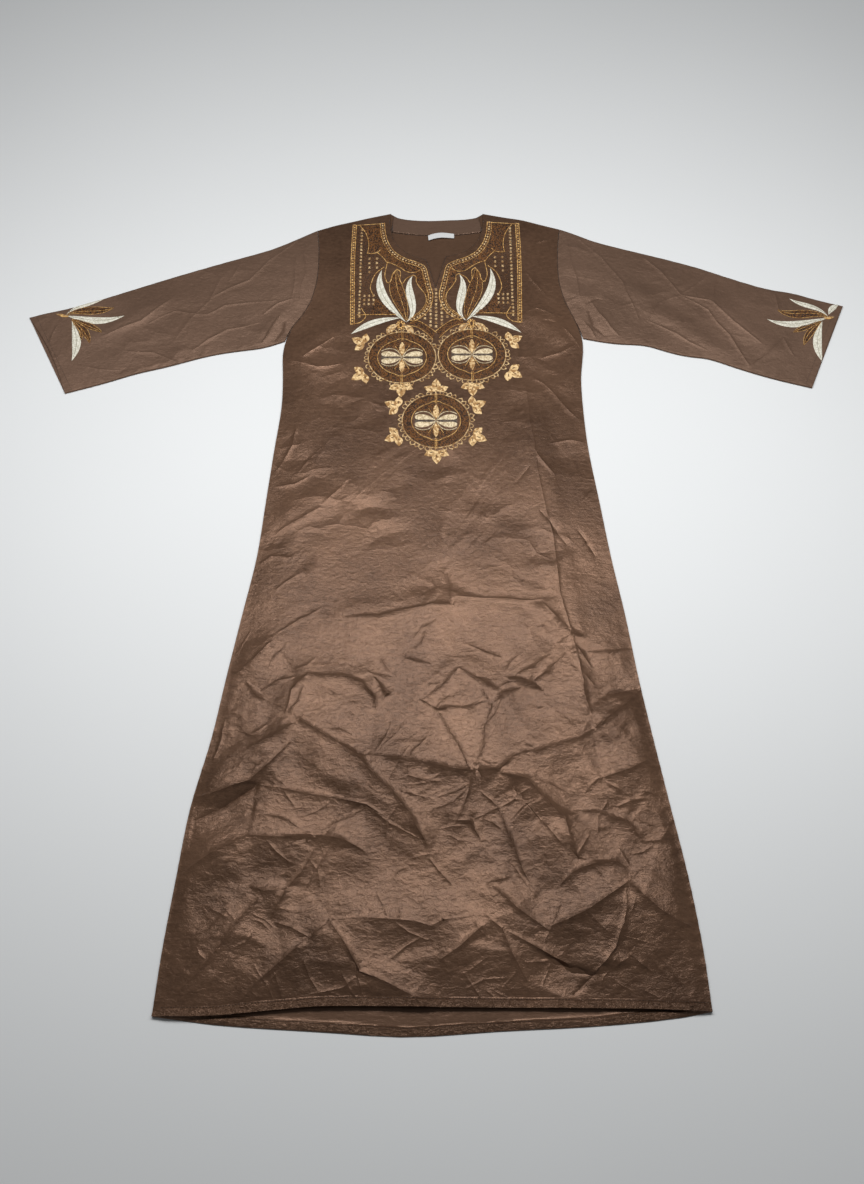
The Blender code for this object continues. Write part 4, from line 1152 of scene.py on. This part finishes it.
def add_filled_leaf(bm, gold_bm, line, width):
    """Leaf worked in rows along its length over a low ground, with its outline and a middle row in gold."""
    add_leaf(bm, line, width, tall=0.35, rib=0.3, groove=0.0)
    points, heading = evenly(line, 0.26)
    share = np.linspace(0.0, 1.0, len(points))
    for place in (-0.98, -0.72, -0.44, -0.15, 0.15, 0.44, 0.72, 0.98):
        away = place * width / 2 * leaf_shape(share, 0.55, 1.0)
        row = points + np.stack([-np.sin(heading), np.cos(heading)], axis=1) * away[:, None]
        thread_bm = gold_bm if place in (-0.98, -0.15, 0.98) else bm
        narrow = 0.13 if thread_bm is gold_bm else 0.19
        add_stitches(thread_bm, [row_along((row[1:-1], heading[1:-1]), 0.30, narrow, 0.55, 0.25)])


def surface_of(cloth):
    """Surface of a finished cloth, for laying embroidery on it."""
    return BVHTree.FromObject(cloth, bpy.context.evaluated_depsgraph_get())


def sew_on(bm, cloth_tree):
    """Lay flat embroidery on cloth, each point at its own height over the cloth under it."""
    for vertex in bm.verts:
        above = Vector((vertex.co.x * CM, NECK_POINT_Y + vertex.co.y * CM, 0.05))
        place, _, _, _ = cloth_tree.ray_cast(above, (0.0, 0.0, -1.0))
        outward = Vector((0.0, 0.0, 1.0))
        if place is None:
            place, outward, _, _ = cloth_tree.find_nearest((above.x, above.y, 0.004))
        vertex.co = place + outward * vertex.co.z * CM


def embroidery(name, bm, cloth_tree, material):
    """Finished piece in one material: embroidery, stitches, or dark marks of painted shade."""
    sew_on(bm, cloth_tree)
    piece = put_in_scene(name, bm, material)
    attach(piece, "root")
    return piece


front_tree = surface_of(front_cloth)
gold = thread("gold_thread", GOLD, 420.0)
pale_gold = thread("pale_gold_thread", PALE_GOLD)
rust = thread("rust_thread", RUST, 620.0)
ivory = thread("ivory_thread", IVORY, 520.0)
vein = thread("vein_thread", VEIN, 400.0)
gold_work, pale_work, rust_work, ivory_work, vein_work = (bmesh.new() for _ in range(5))
leaf_works = {"ivory": ivory_work, "pale": pale_work}
for side in SIDES:
    add_braid(pale_work, gold_work, rust_work, smooth_line(sewn_at(side, NECK_BORDER), 0.30), 0.95)
    add_braid(gold_work, gold_work, rust_work, smooth_line(sewn_at(side, SIDE_BORDER), 0.30), 0.75)
    for knots in GOLD_LINES:
        line = smooth_line(sewn_at(side, knots), 0.22)
        add_stitches(gold_work, [row_along(line, 0.27, 0.19, 0.55, 0.35, math.radians(14.0))])
    ring = [(6.0 + 0.5 * math.cos(turn), 24.95 + 0.75 * math.sin(turn))
            for turn in np.linspace(0, 2 * math.pi, 13)]
    add_braid(gold_work, gold_work, rust_work, smooth_line(sewn_at(side, ring), 0.28), 0.45)
    column = [(13.1, down) for down in np.arange(3.6, 23.2, 0.78)]
    short_rows = [(out, down) for out in (11.6, 10.3) for down in (10.3, 11.3, 12.3, 13.3)
                  if out > 11 or down < 13]
    block = [(out, down) for out in (10.7, 11.5, 12.3) for down in (18.6, 19.5, 20.4)]
    under_slit = [(0.95, down) for down in np.arange(20.3, 25.2, 0.78)]
    under_slit += [(1.9, 21.9), (1.9, 22.7), (1.9, 23.5), (2.8, 23.3)]
    add_stitches(pale_work, dots(sewn_at(side, column + short_rows + block + under_slit)))
    for outline in (SHOULDER_GROUND, CHEVRON_GROUND, LOW_GROUND):
        fill(rust_work, sewn_at(side, outline))
    fill(rust_work, sewn_at(side, DOTTED_GROUND), solid=False, pitch=0.28)
    for leaf in SPRAY:
        if leaf.thread == "rust":
            add_filled_leaf(rust_work, gold_work, leaf_line(leaf, side), leaf.width)
        else:
            add_leaf(leaf_works[leaf.thread], leaf_line(leaf, side), leaf.width)
            add_vein(vein_work, leaf_line(leaf, side))
slit_column = [(MIDDLE, -down - SHIFT_DOWN) for down in np.arange(17.4, 25.6, 0.78)]
add_stitches(pale_work, dots(slit_column))
embroidery("neck_gold", gold_work, front_tree, gold)
embroidery("neck_dots", pale_work, front_tree, pale_gold)
embroidery("neck_grounds", rust_work, front_tree, rust)
embroidery("neck_leaves", ivory_work, front_tree, ivory)
embroidery("neck_leaf_veins", vein_work, front_tree, vein)

# Medallions
# Three round medallions below the neck: a pale gold ring, a rust band, a gold inner ring with two
# pairs of cream lobes and pale gold spindles, a looped edge, and pale gold trefoils round it.
Medallion = namedtuple("Medallion", "across down across_radius down_radius")
MEDALLIONS = (
    Medallion(-5.9, 32.1, 5.75, 5.40),
    Medallion(5.8, 31.5, 5.75, 5.40),
    Medallion(-0.25, 44.9, 5.60, 5.35),
)
INNER_ACROSS = 0.71
INNER_DOWN = 0.66
# Browns of the painted shade in the gap between each pair of cream lobes.
SHADOWED = ((0.052, 0.034, 0.022), (0.13, 0.095, 0.068))
LOOPS = 38
LOOPS_MISSING = 0.06
Trefoil = namedtuple("Trefoil", "across down turn")
TREFOILS = (
    Trefoil(-12.6, 29.0, 152), Trefoil(-12.5, 35.6, 212), Trefoil(-6.0, 38.2, 270),
    Trefoil(12.5, 28.6, 28), Trefoil(12.3, 35.1, -32), Trefoil(5.8, 38.0, 270),
    Trefoil(-0.2, 38.5, 90), Trefoil(-6.8, 42.0, 156), Trefoil(-6.7, 47.9, 205),
    Trefoil(-0.15, 51.2, 270), Trefoil(6.1, 41.9, 24), Trefoil(6.1, 47.9, -25),
)


def oval(centre, across_radius, down_radius, peak=0.0):
    """Oval line round a centre, with a small peak at its top and bottom."""
    turn = np.linspace(0.0, 2 * math.pi, 121)
    peaked = 1.0 + peak * np.exp(-((abs(np.sin(turn)) - 1.0) / 0.03) ** 2)
    return centre + np.stack([across_radius * np.cos(turn), down_radius * peaked * np.sin(turn)], axis=1)


def beyond(centre, across_radius, down_radius):
    """How far out places lie, as a share of an oval's radius."""
    def share(points):
        return np.hypot(*((points - centre) / (across_radius, down_radius)).T)
    return share


def straight(start, end):
    """Line between two places."""
    return np.linspace(start, end, 12)


gold_work, rust_work, ivory_work, pale_work, gap_shade_work = (bmesh.new() for _ in range(5))
cream = thread("cream_thread", CREAM, 480.0)
dark = thread("painted_gap_shade", SHADOWED, 480.0)
chance = np.random.default_rng(23)
for medallion in MEDALLIONS:
    centre = np.array((medallion.across, -medallion.down))
    outer = (medallion.across_radius, medallion.down_radius)
    inner = (outer[0] * INNER_ACROSS, outer[1] * INNER_DOWN)
    ring = evenly(oval(centre, outer[0] - 0.1, outer[1] - 0.1), 0.24)
    add_stitches(pale_work, [row_along(ring, 0.30, 0.28, 0.75, 0.2)])
    rows = [row_along(evenly(oval(centre, *inner, peak=0.09), 0.24), 0.29, 0.20, 0.6, 0.35)]
    for up in (-1, 1):
        band = straight(centre + (0.0, up * inner[1]), centre + (0.0, up * outer[1]))
        rows += [row_along(beside(evenly(band, 0.24), shift), 0.28, 0.15, 0.5, 0.4)
                 for shift in (-0.12, 0.12)]
        spindle = straight(centre + (0.0, up * 0.2), centre + (0.0, up * 0.98 * inner[1]))
        add_leaf(pale_work, spindle, 1.10, fullest=0.58, blunt=1.5)
        for out in (-1, 1):
            twig = straight(centre + (out * 0.35, up * 0.9), centre + (out * 1.15, up * 2.3))
            rows.append(row_along(evenly(twig, 0.24), 0.28, 0.15, 0.5, 0.4))
    others = [beyond(np.array((other.across, -other.down)), other.across_radius, other.down_radius)
              for other in MEDALLIONS if other is not medallion]
    knots = np.empty((0, 7))
    for turn in (np.arange(LOOPS) + chance.uniform(-0.25, 0.25, LOOPS)) * 2 * math.pi / LOOPS:
        away, size = chance.uniform(0.12, 0.26), chance.uniform(0.28, 0.42)
        foot = centre + np.array(((outer[0] + away) * math.cos(turn), (outer[1] + away) * math.sin(turn)))
        if chance.random() < LOOPS_MISSING or any(other(foot[None, :])[0] < 1.06 for other in others):
            continue
        arch = np.linspace(-0.55 * math.pi, 0.55 * math.pi, 7) + turn
        loop = foot + size * np.stack([np.cos(arch), np.sin(arch)], axis=1)
        knots = np.vstack([knots, row_along(evenly(loop, 0.24), 0.30, 0.21, 0.5, 0.1)])
        if chance.random() < 0.7:
            tip = foot + 1.1 * size * np.array((math.cos(turn), math.sin(turn)))
            knots = np.vstack([knots, (*tip, turn + 1.2, 0.48, 0.34, 0.7, 0.1)])
    add_stitches(pale_work, [knots])
    add_stitches(gold_work, rows)
    far_out, far_in = beyond(centre, *outer), beyond(centre, *inner)
    fields = (lambda points: (far_out(points) < 0.97) & (far_in(points) > 1.02),
              lambda points: (far_in(points) < 0.97) & (abs(points[:, 1] - centre[1]) > 1.75))
    for field in fields:
        low, high = centre - outer, centre + outer
        add_ground(rust_work, low, high, field)
        add_stitches(rust_work, [seeds(low, high, field)])
    for out in (-1, 1):
        gap = straight(centre + (out * 0.3, 0.0), centre + (out * 3.5, 0.0))
        # A dark lens between each pair of cream lobes: painted shade for the gap between them.
        add_leaf(gap_shade_work, gap, 2.9, fullest=0.62, blunt=0.5, tall=0.15, groove=0.0)
        for up in (-1, 1):
            start = centre + (out * 0.15, up * 0.12)
            end = centre + (out * 3.45, up * 0.64)
            lobe = hermite(start, np.array((out * 3.2, up * 2.0)), end, np.array((out * 3.4, -up * 0.5)),
                           np.linspace(0.0, 1.0, 30))
            add_leaf(ivory_work, lobe, 1.22, fullest=0.72, blunt=0.4)
            arc = hermite(start, np.array((out * 1.6, up * 5.6)), centre + (out * 3.35, up * 1.35),
                          np.array((out * 3.2, -up * 2.4)), np.linspace(0.0, 1.0, 30))
            add_stitches(ivory_work, [row_along(evenly(arc, 0.22), 0.29, 0.21, 0.6, 0.3)])

slits = []
for trefoil in TREFOILS:
    centre = np.array((trefoil.across, -trefoil.down))
    facing_out = np.array((math.cos(math.radians(trefoil.turn)), math.sin(math.radians(trefoil.turn))))
    root = centre - 0.45 * facing_out
    for swing, reach, width in ((0, 2.5, 1.6), (68, 2.15, 1.4), (-68, 2.15, 1.4)):
        turn = math.radians(trefoil.turn + swing)
        toward = np.array((math.cos(turn), math.sin(turn)))
        add_leaf(pale_work, straight(root, root + reach * toward), width, 0.50, 1.0, groove=0.1)
        slits.append((*(root + 0.42 * reach * toward), turn, 0.34 * reach, 0.17, 0.5, 0.8))
add_stitches(rust_work, [np.array(slits)])
embroidery("medallion_gold", gold_work, front_tree, gold)
embroidery("medallion_grounds", rust_work, front_tree, rust)
embroidery("medallion_lobes", ivory_work, front_tree, cream)
embroidery("medallion_trefoils", pale_work, front_tree, pale_gold)
embroidery("medallion_gap_painted_shade", gap_shade_work, front_tree, dark)

# Cuff embroidery
# A spray of ivory and brown leaves on each cuff, in the same threads as the neck. It is sewn on
# the upper side of the sleeve, and on the right one an ivory leaf runs to the fold.
CUFF_SPRAYS = {
    "left": (
        Leaf((-63.2, 22.9), 30, (-55.2, 21.4), 24, 1.70, "rust"),
        Leaf((-62.2, 23.8), -25, (-56.5, 27.0), -35, 1.10, "rust"),
        Leaf((-62.2, 23.9), -45, (-58.4, 29.2), -75, 1.20, "rust"),
        Leaf((-62.1, 24.0), -55, (-59.9, 28.6), -85, 0.80, "rust"),
        Leaf((-63.2, 22.9), 55, (-57.2, 19.4), 25, 1.05, "ivory"),
        Leaf((-63.2, 23.1), -16, (-53.2, 23.3), 26, 1.60, "ivory"),
        Leaf((-62.1, 24.1), -68, (-61.0, 32.8), -106, 1.60, "ivory"),
        Leaf((-62.4, 23.1), 200, (-65.0, 22.7), 170, 0.60, "gold"),
    ),
    "right": (
        Leaf((66.5, 23.4), 150, (58.0, 21.9), 140, 1.70, "rust"),
        Leaf((65.2, 24.3), 205, (60.0, 26.8), 205, 1.10, "rust"),
        Leaf((65.2, 24.4), 225, (61.5, 29.6), 250, 1.15, "rust"),
        Leaf((66.5, 23.3), 118, (60.4, 19.4), 140, 1.05, "ivory"),
        Leaf((66.7, 22.9), 72, (68.7, 20.6), 30, 1.10, "ivory"),
        Leaf((66.5, 23.6), 196, (56.0, 24.0), 150, 1.45, "ivory"),
        Leaf((65.4, 24.3), 246, (64.3, 33.0), 288, 1.60, "ivory"),
        Leaf((65.4, 23.8), 20, (67.6, 23.3), 30, 0.60, "gold"),
    ),
}
for side, sleeve in sleeves.items():
    sleeve_tree = surface_of(sleeve)
    ivory_work, rust_work, gold_work, vein_work = (bmesh.new() for _ in range(4))
    leaf_works = {"ivory": ivory_work, "gold": gold_work}
    for leaf in CUFF_SPRAYS[side]:
        if leaf.thread == "rust":
            add_filled_leaf(rust_work, gold_work, leaf_line(leaf), leaf.width)
        else:
            add_leaf(leaf_works[leaf.thread], leaf_line(leaf), leaf.width)
            add_vein(vein_work, leaf_line(leaf))
    embroidery("cuff_leaves_" + side, ivory_work, sleeve_tree, ivory)
    embroidery("cuff_leaf_veins_" + side, vein_work, sleeve_tree, vein)
    embroidery("cuff_brown_leaves_" + side, rust_work, sleeve_tree, rust)
    embroidery("cuff_gold_" + side, gold_work, sleeve_tree, gold)

# Seam and hem stitching, and painted shadow lines
# One row of dark brown stitches runs along each armhole and the facing's lower edge. Dark rows of the same
# brown along the neck's edges, at the facing's two ends and at the armpits are painted shadow.
# The front's hem has a row 1.1 cm up from its edge, the back's 1 cm up and the cuffs' 1.2 cm in.
STITCH_AND_SHADOW_BROWNS = ((0.030, 0.016, 0.010), (0.085, 0.048, 0.030))
HEM_STITCH_STEP = 0.42
ARMHOLES = {
    "left": ((-21.1, 4.1), (-20.7, 8.0), (-20.6, 12.0), (-20.8, 16.0), (-21.6, 20.0), (-22.9, 23.0),
             (-24.5, 25.5), (-25.3, 28.2)),
    "right": ((21.6, 3.8), (21.1, 8.0), (20.9, 12.0), (21.0, 16.0), (21.8, 20.0), (22.9, 23.0),
              (23.8, 25.5), (24.3, 27.6)),
}
CUFF_HEMS = {"left": ((-68.1, 23.5), (-60.4, 38.4)), "right": ((68.1, 21.2), (60.9, 37.3))}
FACING_EDGE = ((-8.1, 4.35), (-4.0, 4.92), (0.0, 5.12), (4.0, 4.92), (7.9, 4.35))
# Painted shadow: dark rows at the facing's two ends, for the shade in the gap at the sides of the neck.
FACING_END_SHADOWS = (((-7.9, 0.7), (-8.0, 2.4), (-7.9, 4.3)), ((7.8, 0.7), (7.9, 2.4), (7.75, 4.3)))
# Painted shadow: dark rows along the front's neck and slit edges, for the shade under the raised edge.
NECK_EDGE_SHADOWS = (
    ((-8.4, 2.0), (-8.2, 4.2), (-7.8, 6.2), (-6.9, 8.0), (-5.5, 9.4), (-3.8, 10.4), (-1.95, 11.1),
     (-1.1, 14.1), (-0.3, 17.2)),
    ((8.2, 2.0), (8.0, 4.0), (7.4, 6.2), (6.3, 7.9), (4.8, 9.2), (3.2, 9.9), (1.5, 10.4),
     (0.6, 13.8), (-0.25, 17.1)),
)
# Painted shadow: short dark rows at the armpits, for the shade in the underarm crumples.
ARMPIT_SHADOWS = (((-25.0, 26.4), (-25.6, 28.2)), ((24.1, 26.2), (24.5, 27.8)))
stitches_and_painted_shadows = thread("stitches_and_painted_shadows", STITCH_AND_SHADOW_BROWNS, 300.0)


def stitch_and_shadow_row(places, step=HEM_STITCH_STEP, length=0.32, width=0.11):
    """Row of short dark marks along given points, across and down, used both for stitches and for painted
    shadow lines.
    """
    line = evenly(np.array([(across, -down) for across, down in places], float), step)
    return row_along(line, length, width, 0.35, 0.05)


def above_hem(hem, depth, from_across, to_across):
    """Places along a hem, at a depth from its edge."""
    across = np.linspace(from_across, to_across, 60)
    return np.stack([across, hem_place(hem, across) - depth], axis=1)


front_stitches_and_shadows, back_sewing = bmesh.new(), bmesh.new()
add_stitches(front_stitches_and_shadows, [stitch_and_shadow_row(above_hem(FRONT_HEM, FRONT_HEM_DEPTH, -36.0, 35.0))])
for places in ARMHOLES.values():
    add_stitches(front_stitches_and_shadows, [stitch_and_shadow_row(places, 0.30, 0.42, 0.12)])
# Painted shadow lines along the neck's edges and at the armpits, in the stitches' dark brown.
add_stitches(front_stitches_and_shadows, [stitch_and_shadow_row(places, 0.26, 0.36, 0.20) for places in NECK_EDGE_SHADOWS])
add_stitches(front_stitches_and_shadows, [stitch_and_shadow_row(places, 0.26, 0.36, 0.34) for places in ARMPIT_SHADOWS])
embroidery("front_stitching_and_painted_shadows", front_stitches_and_shadows, front_tree, stitches_and_painted_shadows)
add_stitches(back_sewing, [stitch_and_shadow_row(above_hem(BACK_HEM, BACK_HEM_DEPTH, -28.0, 28.0)),
                           stitch_and_shadow_row(FACING_EDGE, 0.26, 0.36, 0.10)])
embroidery("back_stitching", back_sewing, surface_of(back_cloth), stitches_and_painted_shadows)
# Painted shadow at the facing's two ends.
facing_end_shadow_work = bmesh.new()
add_stitches(facing_end_shadow_work, [stitch_and_shadow_row(places, 0.26, 0.40, 0.30) for places in FACING_END_SHADOWS])
embroidery("facing_end_painted_shadows", facing_end_shadow_work, surface_of(facing), stitches_and_painted_shadows)
for side, sleeve in sleeves.items():
    cuff_sewing = bmesh.new()
    add_stitches(cuff_sewing, [stitch_and_shadow_row(CUFF_HEMS[side], 0.36, 0.30, 0.08)])
    embroidery("cuff_stitching_" + side, cuff_sewing, surface_of(sleeve), stitches_and_painted_shadows)
